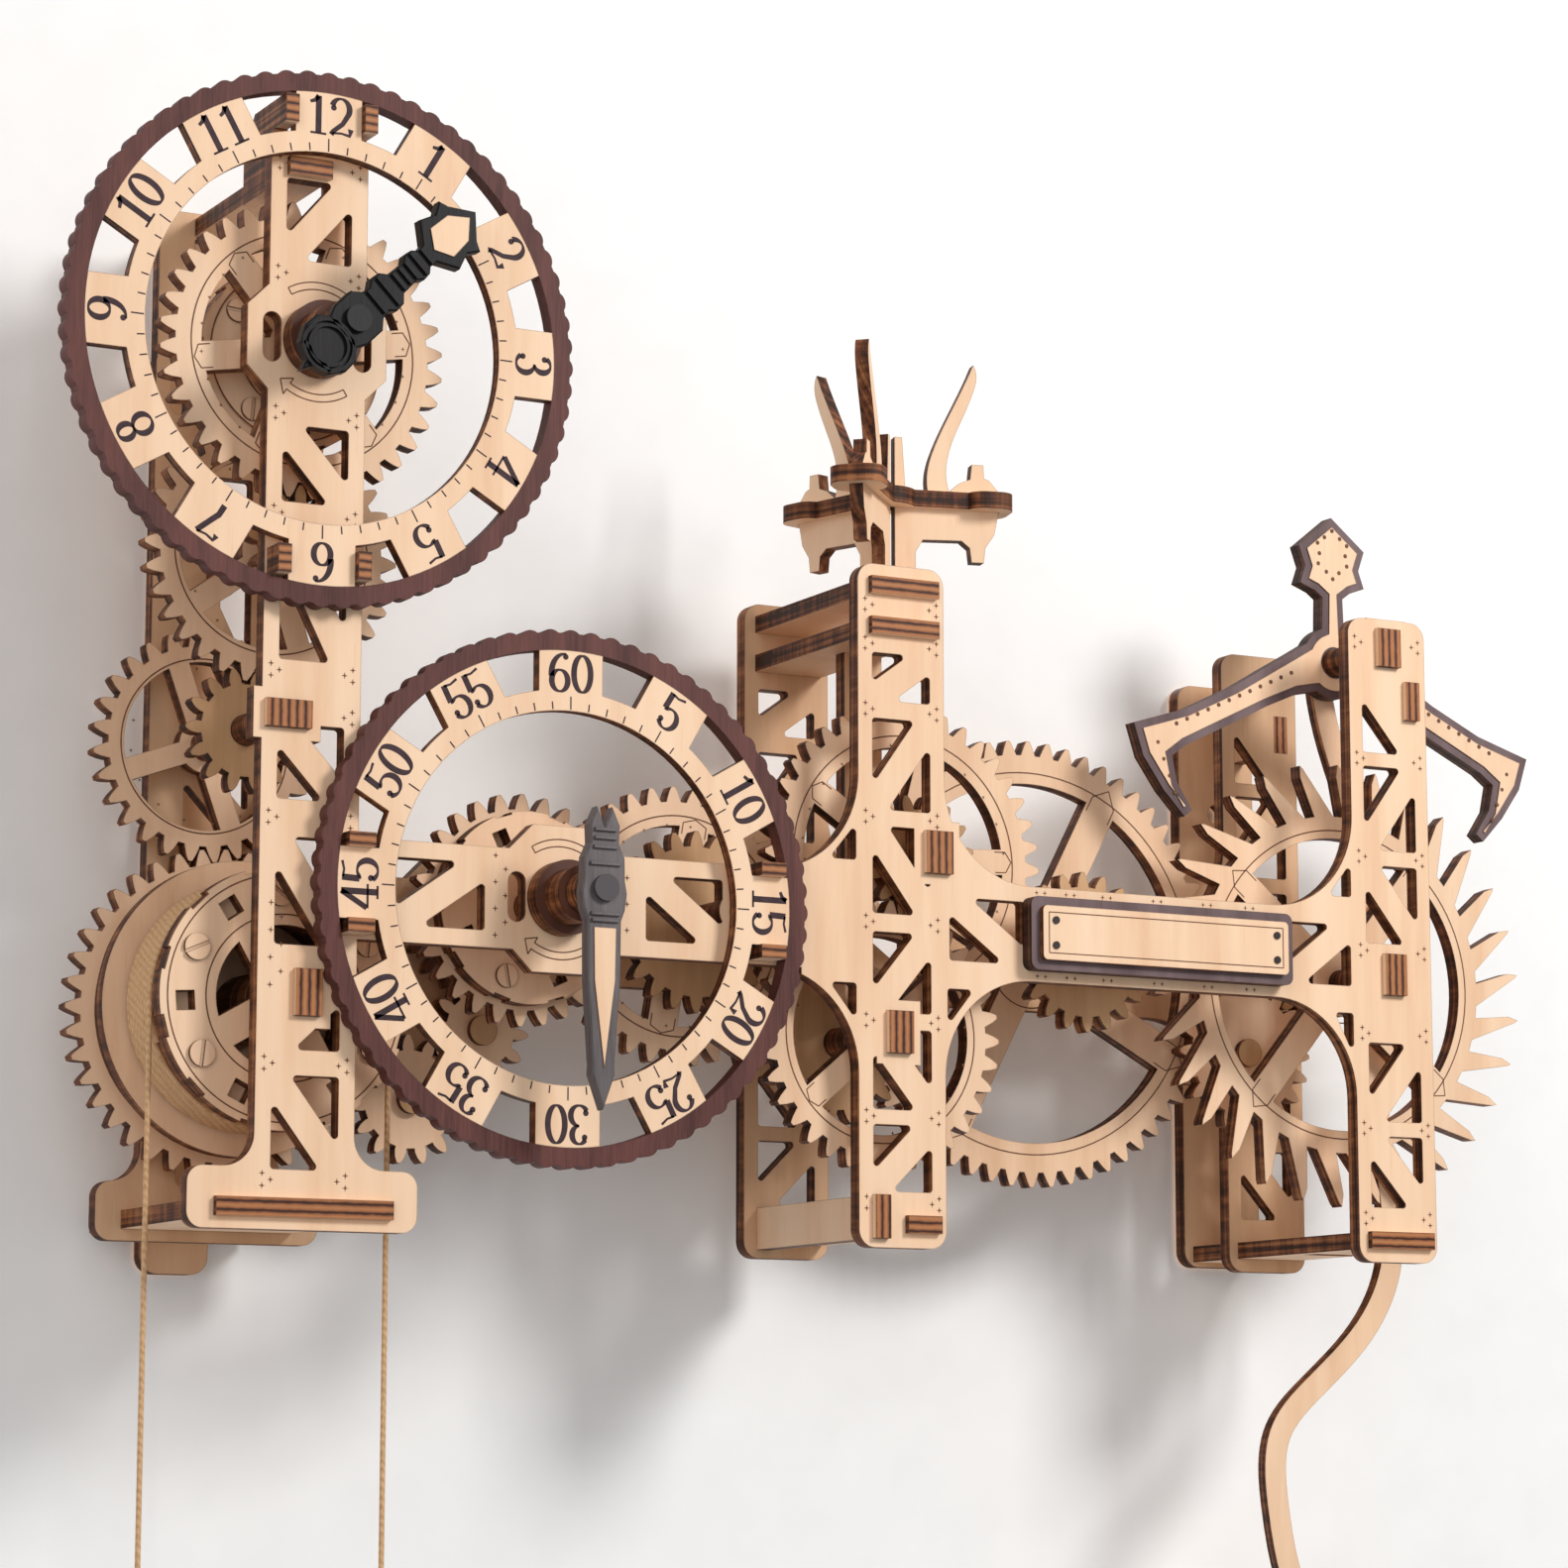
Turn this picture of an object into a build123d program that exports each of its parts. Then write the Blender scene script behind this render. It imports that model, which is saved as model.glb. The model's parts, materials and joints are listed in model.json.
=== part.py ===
"""Laser-cut plywood wall clock: trussed frame, two dials, weight drum, gear train, pendulum.

Frame: +Z up, the wall is the plane Y = 0 and the clock stands out of it towards -Y.
X = 0 is the hour tower's centre line and Z = 0 is the bottom of the towers.
Every sheet is drawn as seen from the front, and is placed by its rear face's distance
from the wall, here called its depth.
"""
from build123d import *
from math import acos, atan2, cos, degrees, hypot, pi, radians, sin, sqrt, tan
import os

os.makedirs("parts", exist_ok=True)

# ------------------------------------------------------------------ driving dimensions, mm
SHEET = 4.0              # plywood thickness
FRONT = 75.0             # depth of the front plates' rear face
REAR = 20.0              # depth of the rear plates' rear face
MODULE = 1.75            # of every gear
PRESSURE_ANGLE = 25.0
ADDENDUM = 0.85 * MODULE
DEDENDUM = 1.15 * MODULE
BACKLASH = 0.35          # taken off each tooth's thickness at the pitch circle
ARBOR_R = 2.0            # turning dowels
RUNNING = 0.05           # radial clearance of a dowel in its plate
ARBOR_START = REAR - 3.0 # arbors stand out behind the rear plate
ARBOR_END = FRONT + SHEET - 0.2
END_COLLARS = (24.4, 74.6)  # depths at which collars stop short of the two plates
CORNER = 0.8             # radius in the windows' corners
REAR_TOWER_W = 32.0      # the hour tower's rear plate is wider than its front one

TOWER_W = 22.6
BAR = 3.7                # width of the bars around a tower's windows
DIAGONAL = 3.2           # width of the diagonal bars
TOWER_H = 156.0          # the two right-hand towers
HOUR_TOWER_H = 232.7
BRIDGE_Z = (62.0, 84.0)  # arm and bridge
FOOT = (52.0, 13.0)      # width and height of the hour tower's foot
LEFT_TOWER_X = 145.0     # left upright of the H-shaped frame
RIGHT_TOWER_X = 281.5    # right upright of the H-shaped frame
SPLIT_X = 119.0          # where the left and right plates meet
FLARE_R = 23.0           # concave corners between bridge and towers

DIAL_R = 59.0            # over the scallops
DIAL_DEPTH = 80.5        # depth of the dial face's rear side
DIAL_T = 3.0
DIAL_BRACKET_HALF = 9.2  # brackets stand either side of a number tile
BRACKET_T = 3.0
HAND_DEPTH = 98.0
HAND_T = 3.0
CORD_R = 0.6
CORD_RING_R = 27.5       # radius at which the cord leaves the drum
CORD_DEPTH = 59.0
CORD_BOTTOM_Z = -82.0

ESCAPE_TIP_R = 54.5
ESCAPE_TEETH = 30
ANCHOR_Z = 149.0
BEAT_LENGTH = 243.6      # pendulum's pivot to the middle of its bob


def place(centre, depth):
    """The sheet's plane: its rear side is `depth` from the wall, +x right and +y up."""
    return Plane((centre[0], -depth, centre[1]), x_dir=(1, 0, 0), z_dir=(0, -1, 0))


ORIGIN = (0.0, 0.0)


# ------------------------------------------------------------------ where the arbors stand
def beside(a, b, ra, rb, side):
    """The point at ra from a and rb from b, left (+1) or right (-1) of the way from a to b."""
    d = hypot(b[0] - a[0], b[1] - a[1])
    ux, uz = (b[0] - a[0]) / d, (b[1] - a[1]) / d
    along = (ra**2 - rb**2 + d**2) / (2 * d)
    off = side * sqrt(ra**2 - along**2)
    return a[0] + along * ux - off * uz, a[1] + along * uz + off * ux


def reach(teeth_a, teeth_b):
    """Centre distance of two meshing gears."""
    return MODULE * (teeth_a + teeth_b) / 2


def towards(a, bearing, length):
    """The point at `length` from a, in the direction `bearing` in degrees."""
    return a[0] + length * cos(radians(bearing)), a[1] + length * sin(radians(bearing))


TEETH = {
    "great": 40, "idler": 28, "idler_pinion": 14, "motion": 32, "motion_pinion": 12, "hour": 36,
    "lower_idler": 15, "upper_idler": 12, "minute_pinion": 16, "minute": 28, "arm_pinion": 22,
    "arm": 35, "lower_pinion": 20, "lower": 34, "upper_pinion": 15, "upper": 40, "bridge_pinion": 20,
    "bridge": 60, "fourth_pinion": 10, "fourth": 20, "escape_pinion": 10,
}
DRUM = (0.0, 50.0)
MINUTE = (59.1, 73.5)
ESCAPE = (RIGHT_TOWER_X, 69.0)
ANCHOR = (RIGHT_TOWER_X, ANCHOR_Z)
IDLER = towards(DRUM, 95.3, reach(40, 28))
MOTION = (0.0, IDLER[1] + sqrt(reach(14, 32) ** 2 - IDLER[0] ** 2))
HOUR = (0.0, MOTION[1] + reach(12, 36))
LOWER_IDLER = towards(DRUM, -20.7, reach(40, 15))
UPPER_IDLER = beside(LOWER_IDLER, MINUTE, reach(15, 12), reach(12, 16), -1)
ARM = (MINUTE[0] + reach(28, 22), MINUTE[1])
LOWER = towards(ARM, -31.2, reach(35, 20))
UPPER = towards(LOWER, 76.1, reach(34, 15))
BRIDGE = towards(UPPER, -20.5, reach(40, 20))
FOURTH = beside(BRIDGE, ESCAPE, reach(60, 10), reach(20, 10), -1)

# depth of the rear face of each gear
DEPTH = {
    "great": 27, "idler": 27, "lower_idler": 27, "upper_idler": 27, "minute_pinion": 27,
    "idler_pinion": 51, "motion": 51, "motion_pinion": 67, "hour": 67, "minute": 55,
    "arm_pinion": 55, "arm": 46, "lower_pinion": 46, "lower": 67, "upper_pinion": 67,
    "upper": 60, "bridge_pinion": 60, "bridge": 35, "fourth_pinion": 35, "fourth": 41,
    "escape_pinion": 41,
}
ESCAPE_DEPTH = 53.0
MID_DEPTH = 52.0         # the small plate that carries the upper arbor's rear end


# ------------------------------------------------------------------ gears
def involute(angle):
    return tan(angle) - angle


def gear_points(teeth, phase):
    """Outline of a gear whose first tooth is centred at `phase` degrees."""
    pitch_r = MODULE * teeth / 2
    base_r = pitch_r * cos(radians(PRESSURE_ANGLE))
    root_r, tip_r = pitch_r - DEDENDUM, pitch_r + ADDENDUM
    at_pitch = (pi * MODULE / 2 - BACKLASH) / (2 * pitch_r) + involute(radians(PRESSURE_ANGLE))

    def half_angle(r):
        return at_pitch - involute(acos(min(1.0, base_r / r)))

    flank = [root_r, max(base_r, root_r + 0.25 * MODULE), pitch_r, pitch_r + 0.5 * ADDENDUM, tip_r]
    points = []
    for k in range(teeth):
        middle = radians(phase) + 2 * pi * k / teeth
        for r in flank:
            a = middle - half_angle(max(r, base_r))
            points.append((r * cos(a), r * sin(a)))
        for r in reversed(flank):
            a = middle + half_angle(max(r, base_r))
            points.append((r * cos(a), r * sin(a)))
    return points


def mesh_phase(driver, driver_at, driver_phase, driven, driven_at):
    """Phase of the driven gear, in degrees, so that its teeth fit the driver's."""
    bearing = degrees(atan2(driven_at[1] - driver_at[1], driven_at[0] - driver_at[0]))
    tooth = (driver_phase - bearing) % (360 / driver)
    gap = bearing + 180 - tooth * driver / driven
    return gap + 180 / driven


PHASE = {"great": 0.0, "idler_pinion": 0.0, "motion_pinion": 0.0, "minute": 0.0, "arm": 0.0,
         "lower": 0.0, "upper": 0.0, "bridge": 0.0, "fourth": 0.0}
CENTRE = {
    "great": DRUM, "idler": IDLER, "idler_pinion": IDLER, "motion": MOTION,
    "motion_pinion": MOTION, "hour": HOUR, "lower_idler": LOWER_IDLER, "upper_idler": UPPER_IDLER,
    "minute_pinion": MINUTE, "minute": MINUTE, "arm_pinion": ARM, "arm": ARM,
    "lower_pinion": LOWER, "lower": LOWER, "upper_pinion": UPPER, "upper": UPPER,
    "bridge_pinion": BRIDGE, "bridge": BRIDGE, "fourth_pinion": FOURTH, "fourth": FOURTH,
    "escape_pinion": ESCAPE,
}
MESHES = [("great", "idler"), ("idler_pinion", "motion"), ("motion_pinion", "hour"),
          ("great", "lower_idler"), ("lower_idler", "upper_idler"),
          ("upper_idler", "minute_pinion"), ("minute", "arm_pinion"), ("arm", "lower_pinion"),
          ("lower", "upper_pinion"), ("upper", "bridge_pinion"), ("bridge", "fourth_pinion"),
          ("fourth", "escape_pinion")]
for first, second in MESHES:
    PHASE[second] = mesh_phase(TEETH[first], CENTRE[first], PHASE[first],
                               TEETH[second], CENTRE[second])


def export(builder, name):
    builder.part.label = name
    export_step(builder.part, f"parts/{name}.step")


def make_wheel(name, gear, spokes, hub_r, rim=5.0, spoke_w=6.5, thickness=SHEET, turn=0.0):
    """A spoked gear, cut from one sheet."""
    root_r = MODULE * TEETH[gear] / 2 - DEDENDUM
    with BuildPart() as wheel:
        with BuildSketch(place(CENTRE[gear], DEPTH[gear])):
            with BuildLine():
                Polyline(*gear_points(TEETH[gear], PHASE[gear]), close=True)
            make_face()
            Circle(root_r - rim, mode=Mode.SUBTRACT)
            Circle(hub_r)
            with PolarLocations(0, spokes, start_angle=turn):
                Rectangle(root_r - rim / 2, spoke_w, align=(Align.MIN, Align.CENTER))
            Circle(ARBOR_R, mode=Mode.SUBTRACT)
        extrude(amount=thickness)
    export(wheel, name)


def make_gear(name, gear, thickness=SHEET, bore=ARBOR_R):
    """A solid gear with a bore."""
    with BuildPart() as disc:
        with BuildSketch(place(CENTRE[gear], DEPTH[gear])):
            with BuildLine():
                Polyline(*gear_points(TEETH[gear], PHASE[gear]), close=True)
            make_face()
            Circle(bore, mode=Mode.SUBTRACT)
        extrude(amount=thickness)
    export(disc, name)


def make_arbor(name, centre, collars, pinion=None, start=ARBOR_START, end=ARBOR_END):
    """A dowel between two depths, with collars (depth, depth, radius) and a pinion on it."""
    with BuildPart() as arbor:
        with BuildSketch(place(centre, start)):
            Circle(ARBOR_R)
        extrude(amount=end - start)
        for low, high, radius in collars:
            with BuildSketch(place(centre, low)):
                Circle(radius)
            extrude(amount=high - low)
        if pinion:
            with BuildSketch(place(centre, DEPTH[pinion])):
                with BuildLine():
                    Polyline(*gear_points(TEETH[pinion], PHASE[pinion]), close=True)
                make_face()
            extrude(amount=SHEET)
    export(arbor, name)


# ------------------------------------------------------------------ truss plates
def window(points):
    """A polygonal window with rounded corners, cut from the sketch being built."""
    with BuildSketch(mode=Mode.PRIVATE) as hole:
        with BuildLine():
            Polyline(*points, close=True)
        make_face()
        fillet(hole.vertices(), CORNER)
    add(hole.sketch, mode=Mode.SUBTRACT)


def bay(x0, x1, z0, z1, lean, upper=True, lower=True):
    """Two triangular windows either side of a diagonal that leans right (+1) or left (-1)."""
    gap = DIAGONAL / sin(atan2(z1 - z0, x1 - x0)) / 2
    rise = DIAGONAL / cos(atan2(z1 - z0, x1 - x0)) / 2
    mid = (x0 + x1) / 2

    def flip(p):
        return p if lean > 0 else (2 * mid - p[0], p[1])

    if upper:
        window([flip(p) for p in ((x0, z1), (x0, z0 + 2 * rise), (x1 - 2 * gap, z1))])
    if lower:
        window([flip(p) for p in ((x1, z0), (x1, z1 - 2 * rise), (x0 + 2 * gap, z0))])


def tower_bays(x, bays):
    """A column of bays on a tower's centre line, each (bottom, top, lean)."""
    half = TOWER_W / 2 - BAR
    for low, high, lean in bays:
        bay(x - half, x + half, low, high, lean)


def slot(x0, x1, z0, z1):
    """A rectangular slot cut from the sketch being built."""
    with Locations(((x0 + x1) / 2, (z0 + z1) / 2)):
        Rectangle(x1 - x0, z1 - z0, mode=Mode.SUBTRACT)


def bearing(centre):
    """The hole in which an arbor turns, in a round boss."""
    with Locations(centre):
        Circle(ARBOR_R + 2.6)
        Circle(ARBOR_R + RUNNING, mode=Mode.SUBTRACT)


def block_seat(centre, width, height):
    """The slot that holds a bearing block, with solid sheet around it."""
    with Locations(centre):
        Rectangle(width + 5, height + 5)
        Rectangle(width, height, mode=Mode.SUBTRACT)


def rounded_rect(x0, x1, z0, z1, radius=4.0):
    """A rectangle with rounded corners, added to the sketch being built."""
    with Locations(((x0 + x1) / 2, (z0 + z1) / 2)):
        RectangleRounded(x1 - x0, z1 - z0, radius)


HALF = TOWER_W / 2
HUB_R = 17.5
BLOCK_END = FRONT + SHEET + 1.5
# Blocks let into the front plates carry the arbors' front ends: (centre, width, height)
LEFT_BLOCKS = [(DRUM, 6.0, 10.0), (IDLER, 10.4, 6.0)]
RIGHT_BLOCKS = [(LOWER, 6.4, 9.6), (UPPER, 7.0, 9.8), (ESCAPE, 6.2, 10.0), (ANCHOR, 6.6, 9.4)]
# Boards that join the front and rear plates lie in slots: (x0, x1, z0, z1) as seen from the front
LEFT_BOARDS = [(-20.0, 20.0, 2.6, 6.6), (-7.6, 2.4, 227.4, 231.4)]
H_BOARDS = [(LEFT_TOWER_X - 8.4, LEFT_TOWER_X + 9.4, 149.0, 153.0),
            (LEFT_TOWER_X - 8.4, LEFT_TOWER_X + 9.4, 139.6, 143.6),
            (LEFT_TOWER_X - 7.9, LEFT_TOWER_X - 3.9, 2.0, 11.8),
            (LEFT_TOWER_X + 0.6, LEFT_TOWER_X + 9.4, 3.3, 7.3)]
ROD_BOARD = (RIGHT_TOWER_X - 8.8, RIGHT_TOWER_X + 9.6, 3.2, 7.2)
STUB_BOARD = (RIGHT_TOWER_X + 4.6, RIGHT_TOWER_X + 8.6, 131.6, 141.0)
H_SLOTS = H_BOARDS + [ROD_BOARD, STUB_BOARD]


def foot_corner(x, z, side, radius):
    """The concave fillet between the tower and the top of its foot."""
    with BuildSketch(mode=Mode.PRIVATE) as corner:
        with Locations((x + side * radius / 2, z + radius / 2)):
            Rectangle(radius, radius)
        with Locations((x + side * radius, z + radius)):
            Circle(radius, mode=Mode.SUBTRACT)
    add(corner.sketch)


def left_outline(front):
    """Hour tower with its foot and hub, and the arm that carries the minute hub."""
    z0, z1 = BRIDGE_Z
    half = (TOWER_W if front else REAR_TOWER_W) / 2
    with Locations((0, HOUR_TOWER_H / 2)):
        Rectangle(2 * half, HOUR_TOWER_H)
    rounded_rect(-FOOT[0] / 2, FOOT[0] / 2, 0, FOOT[1], 3.5)
    with Locations(((SPLIT_X) / 2, (z0 + z1) / 2)):
        Rectangle(SPLIT_X, z1 - z0)
    for centre in (HOUR, MINUTE):
        with Locations(centre):
            RegularPolygon(HUB_R, 8, rotation=22.5)
    fillet_r = 7.0
    for side in (-1, 1):
        foot_corner(side * half, FOOT[1], side, fillet_r)
    if not front:
        for lobe in (LOWER_IDLER, UPPER_IDLER):
            with Locations(lobe):
                Circle(6.0)
        shelf_z = z0 + 1
        with BuildSketch(mode=Mode.PRIVATE) as shelf:
            with BuildLine():
                Polyline(LOWER_IDLER, UPPER_IDLER, (UPPER_IDLER[0], shelf_z),
                         (UPPER_IDLER[0] - 20, shelf_z), close=True)
            make_face()
        add(shelf.sketch)


def left_windows():
    """The truss windows of the hour tower and the arm."""
    z0, z1 = BRIDGE_Z[0] + BAR, BRIDGE_Z[1] - BAR
    tower_bays(0, [(208.8, 226.8, 1), (155.3, 172.2, -1), (121.0, 150.5, -1), (91.0, 107.2, -1),
                   (60.0, 83.0, -1), (12.6, 32.4, -1)])
    bay(-HALF + BAR, HALF - BAR, 37.8, 52.0, 1, upper=False)
    bay(20.0, 41.0, z0, z1, 1)
    bay(80.0, 99.0, z0, z1, -1)
    for cx, cz in ((HOUR[0] - 10.5, HOUR[1]), (HOUR[0] + 10.5, HOUR[1]),
                   (MINUTE[0] - 10.5, MINUTE[1]), (MINUTE[0] + 10.5, MINUTE[1])):
        with Locations((cx, cz)):
            SlotOverall(11.0, 4.2, rotation=90, mode=Mode.SUBTRACT)


TONGUE = (46.4, 52.6)    # distances from the dial's centre between which a bracket's tongue lies


def tongue_slots():
    """Slots (x0, x1, z0, z1) below the hour dial and either side of the minute dial."""
    slots = []
    low, high = TONGUE
    for side in (-DIAL_BRACKET_HALF, DIAL_BRACKET_HALF):
        a, b = side - BRACKET_T / 2, side + BRACKET_T / 2
        slots.append((HOUR[0] + a, HOUR[0] + b, HOUR[1] - high, HOUR[1] - low))
        slots.append((MINUTE[0] - high, MINUTE[0] - low, MINUTE[1] + a, MINUTE[1] + b))
        slots.append((MINUTE[0] + low, MINUTE[0] + high, MINUTE[1] + a, MINUTE[1] + b))
    return slots


def left_plate(name, depth, front):
    with BuildPart() as plate:
        with BuildSketch(place(ORIGIN, depth)):
            left_outline(front)
            left_windows()
            for board in LEFT_BOARDS:
                slot(*board)
            if front:
                for tongue in tongue_slots():
                    slot(*tongue)
                for block in LEFT_BLOCKS:
                    block_seat(*block)
            else:
                for centre in (DRUM, IDLER):
                    bearing(centre)
            for centre in (MINUTE, ARM, MOTION, HOUR):
                bearing(centre)
            if not front:
                for centre in (LOWER_IDLER, UPPER_IDLER):
                    with Locations(centre):
                        Circle(ARBOR_R, mode=Mode.SUBTRACT)
        extrude(amount=SHEET)
    export(plate, name)


def flare(x, z, sx, sz):
    """A concave corner of radius FLARE_R: material beside (x, z), towards sx and sz."""
    with BuildSketch(mode=Mode.PRIVATE) as corner:
        with Locations((x + sx * FLARE_R / 2, z + sz * FLARE_R / 2)):
            Rectangle(FLARE_R, FLARE_R)
        with Locations((x + sx * FLARE_R, z + sz * FLARE_R)):
            Circle(FLARE_R, mode=Mode.SUBTRACT)
    add(corner.sketch)


def h_outline(front):
    """Two towers and a bridge, with flared corners and a stub of the arm."""
    z0, z1 = BRIDGE_Z
    for x in (LEFT_TOWER_X, RIGHT_TOWER_X):
        rounded_rect(x - HALF, x + HALF, 0, TOWER_H)
    with Locations(((SPLIT_X + RIGHT_TOWER_X) / 2, (z0 + z1) / 2)):
        Rectangle(RIGHT_TOWER_X - SPLIT_X, z1 - z0)
    for x, side in ((LEFT_TOWER_X - HALF, -1), (LEFT_TOWER_X + HALF, 1), (RIGHT_TOWER_X - HALF, -1)):
        flare(x, z1, side, 1)
        flare(x, z0, side, -1)
    slot(SPLIT_X - FLARE_R, SPLIT_X, 0, TOWER_H)
    if not front:
        with Locations(FOURTH):
            Circle(6.0)


def h_windows():
    """The truss windows of the H-shaped frame."""
    z0, z1 = BRIDGE_Z[0] + BAR, BRIDGE_Z[1] - BAR
    tower_bays(LEFT_TOWER_X, [(124.4, 135.4, 1), (99.2, 120.2, 1), (75.4, 95.4, -1), (53.0, 71.2, 1),
                              (31.0, 49.2, -1), (12.6, 27.6, 1)])
    tower_bays(RIGHT_TOWER_X, [(99.2, 119.6, 1), (76.4, 95.4, -1), (33.6, 52.4, 1), (13.0, 30.0, -1)])
    bay(RIGHT_TOWER_X - HALF + BAR, RIGHT_TOWER_X + HALF - BAR, 123.0, 141.0, -1, upper=False)
    bay(LEFT_TOWER_X + HALF + 1.2, LEFT_TOWER_X + 32.5, z0, z1, -1)
    bay(RIGHT_TOWER_X - 31.5, RIGHT_TOWER_X - HALF - 1.0, z0, z1, 1)
    for side in (-1, 1):
        x = LEFT_TOWER_X + side * (HALF + 0.6)
        window([(x, 59.2), (x + side * 7.0, 59.2), (x, 50.6)])
    x = LEFT_TOWER_X - HALF - 0.6
    window([(x, 87.2), (x - 7.0, 87.2), (x, 95.6)])
    x = RIGHT_TOWER_X - HALF - 0.6
    window([(x, 87.2), (x - 6.6, 87.2), (x, 95.6)])
    window([(x, 59.2), (x - 5.4, 59.2), (x, 48.6)])


def h_plate(name, depth, front):
    with BuildPart() as plate:
        with BuildSketch(place(ORIGIN, depth)):
            h_outline(front)
            h_windows()
            bearing(BRIDGE)
            if front:
                for block in RIGHT_BLOCKS:
                    block_seat(*block)
            else:
                for centre in (LOWER, ESCAPE, ANCHOR):
                    bearing(centre)
                with Locations(FOURTH):
                    Circle(ARBOR_R, mode=Mode.SUBTRACT)
            for board in H_SLOTS:
                slot(*board)
        extrude(amount=SHEET)
    export(plate, name)


left_plate("front_plate_left", FRONT, True)
left_plate("rear_plate_left", REAR, False)
h_plate("front_plate_right", FRONT, True)
h_plate("rear_plate_right", REAR, False)

with BuildPart() as blocks:
    for centre, width, height in LEFT_BLOCKS + RIGHT_BLOCKS:
        with BuildSketch(place(centre, FRONT)):
            Rectangle(width, height)
            Circle(ARBOR_R + RUNNING, mode=Mode.SUBTRACT)
        extrude(amount=SHEET)
        with BuildSketch(place(centre, FRONT + SHEET)):
            Rectangle(width, height)
        extrude(amount=BLOCK_END - FRONT - SHEET)
export(blocks, "bearing_blocks")


# ------------------------------------------------------------------ boards between the plates
ROD_DEPTH = 48.0         # depth of the pendulum rod's rear face
ROD_T = 3.0
ROD_GAP = 1.2            # room before and behind the rod in its board


def board(rect, start, end=BLOCK_END):
    """One board that runs from back to front through the slots, added to the part being built."""
    x0, x1, z0, z1 = rect
    with BuildSketch(place(((x0 + x1) / 2, (z0 + z1) / 2), start)) as section:
        Rectangle(x1 - x0, z1 - z0)
    return section.sketch, end - start


with BuildPart() as left_boards:
    for rect in LEFT_BOARDS:
        extrude(*board(rect, SHEET))
export(left_boards, "left_spacer_boards")

with BuildPart() as right_boards:
    for rect in H_BOARDS:
        extrude(*board(rect, REAR))
    extrude(*board(ROD_BOARD, SHEET))
    with BuildSketch(place((ROD_BOARD[0] + 3.4, ROD_BOARD[2] - 1), ROD_DEPTH - ROD_GAP)):
        Rectangle(20, 6, align=(Align.MIN, Align.MIN))
    extrude(amount=ROD_T + 2 * ROD_GAP, mode=Mode.SUBTRACT)
    extrude(*board(STUB_BOARD, SHEET, REAR + SHEET))
    extrude(*board(STUB_BOARD, FRONT - 8))
export(right_boards, "right_spacer_boards")

# ------------------------------------------------------------------ wall plates
SCREW_R = 2.5
WALL_PLATES = [          # (half width, middle X, bottom, top, height of its screw hole)
    (8.0, 0.0, -6.0, HOUR_TOWER_H, 205.0),
    (HALF, RIGHT_TOWER_X, 2.0, 151.0, 118.0),
]
with BuildPart() as wall_plates:
    with BuildSketch(place(ORIGIN, 0)):
        for half, x, bottom, top, screw_z in WALL_PLATES:
            rounded_rect(x - half, x + half, bottom, top)
            with Locations((x, screw_z)):
                Circle(SCREW_R, mode=Mode.SUBTRACT)
    extrude(amount=SHEET)
export(wall_plates, "wall_plates")

# ------------------------------------------------------------------ splice and middle plate
with BuildPart() as splice:
    with BuildSketch(place((SPLIT_X, sum(BRIDGE_Z) / 2), FRONT - SHEET)):
        RectangleRounded(22, 14, 2)
    extrude(amount=SHEET)
    with BuildSketch(place((SPLIT_X, sum(BRIDGE_Z) / 2), REAR + SHEET)):
        RectangleRounded(22, 14, 2)
    extrude(amount=SHEET)
export(splice, "splice_plates")

with BuildPart() as mid_plate:
    with BuildSketch(place(ORIGIN, MID_DEPTH)):
        rounded_rect(LEFT_TOWER_X - 1, UPPER[0] + 7, UPPER[1] - 8, UPPER[1] + 10)
        with Locations((LEFT_TOWER_X + 3, 139.6)):
            Rectangle(10, 139.6 - UPPER[1], align=(Align.CENTER, Align.MAX))
        bearing(UPPER)
    extrude(amount=SHEET)
export(mid_plate, "mid_plate")

# ------------------------------------------------------------------ dials
SCALLOPS = 72
SCALLOP_R = 2.75
RIM_INNER_R = 54.4
FACE_OUTER_R = RIM_INNER_R
TRACK = (41.0, 45.6)     # inner ring that carries the ticks
TILES = 12
TILE_W = 2 * DIAL_BRACKET_HALF - BRACKET_T


def make_dial_rim(name, centre):
    """Dark outer ring with a scalloped edge."""
    with BuildPart() as rim:
        with BuildSketch(place(centre, DIAL_DEPTH - 1)):
            Circle(DIAL_R - 0.75)
            with PolarLocations(DIAL_R - SCALLOP_R, SCALLOPS):
                Circle(SCALLOP_R)
            Circle(RIM_INNER_R, mode=Mode.SUBTRACT)
        extrude(amount=SHEET)
    export(rim, name)


def make_dial_face(name, centre):
    """Pale ring with twelve number tiles that reach out to the rim."""
    with BuildPart() as face:
        with BuildSketch(place(centre, DIAL_DEPTH)):
            Circle(TRACK[1])
            with PolarLocations((TRACK[0] + FACE_OUTER_R) / 2, TILES):
                Rectangle(FACE_OUTER_R - TRACK[0], TILE_W)
            with BuildSketch(mode=Mode.PRIVATE) as disc:
                Circle(FACE_OUTER_R)
            add(disc.sketch, mode=Mode.INTERSECT)
            Circle(TRACK[0], mode=Mode.SUBTRACT)
        extrude(amount=DIAL_T)
    export(face, name)


make_dial_rim("hour_dial_rim", HOUR)
make_dial_rim("minute_dial_rim", MINUTE)
make_dial_face("hour_dial_face", HOUR)
make_dial_face("minute_dial_face", MINUTE)

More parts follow.
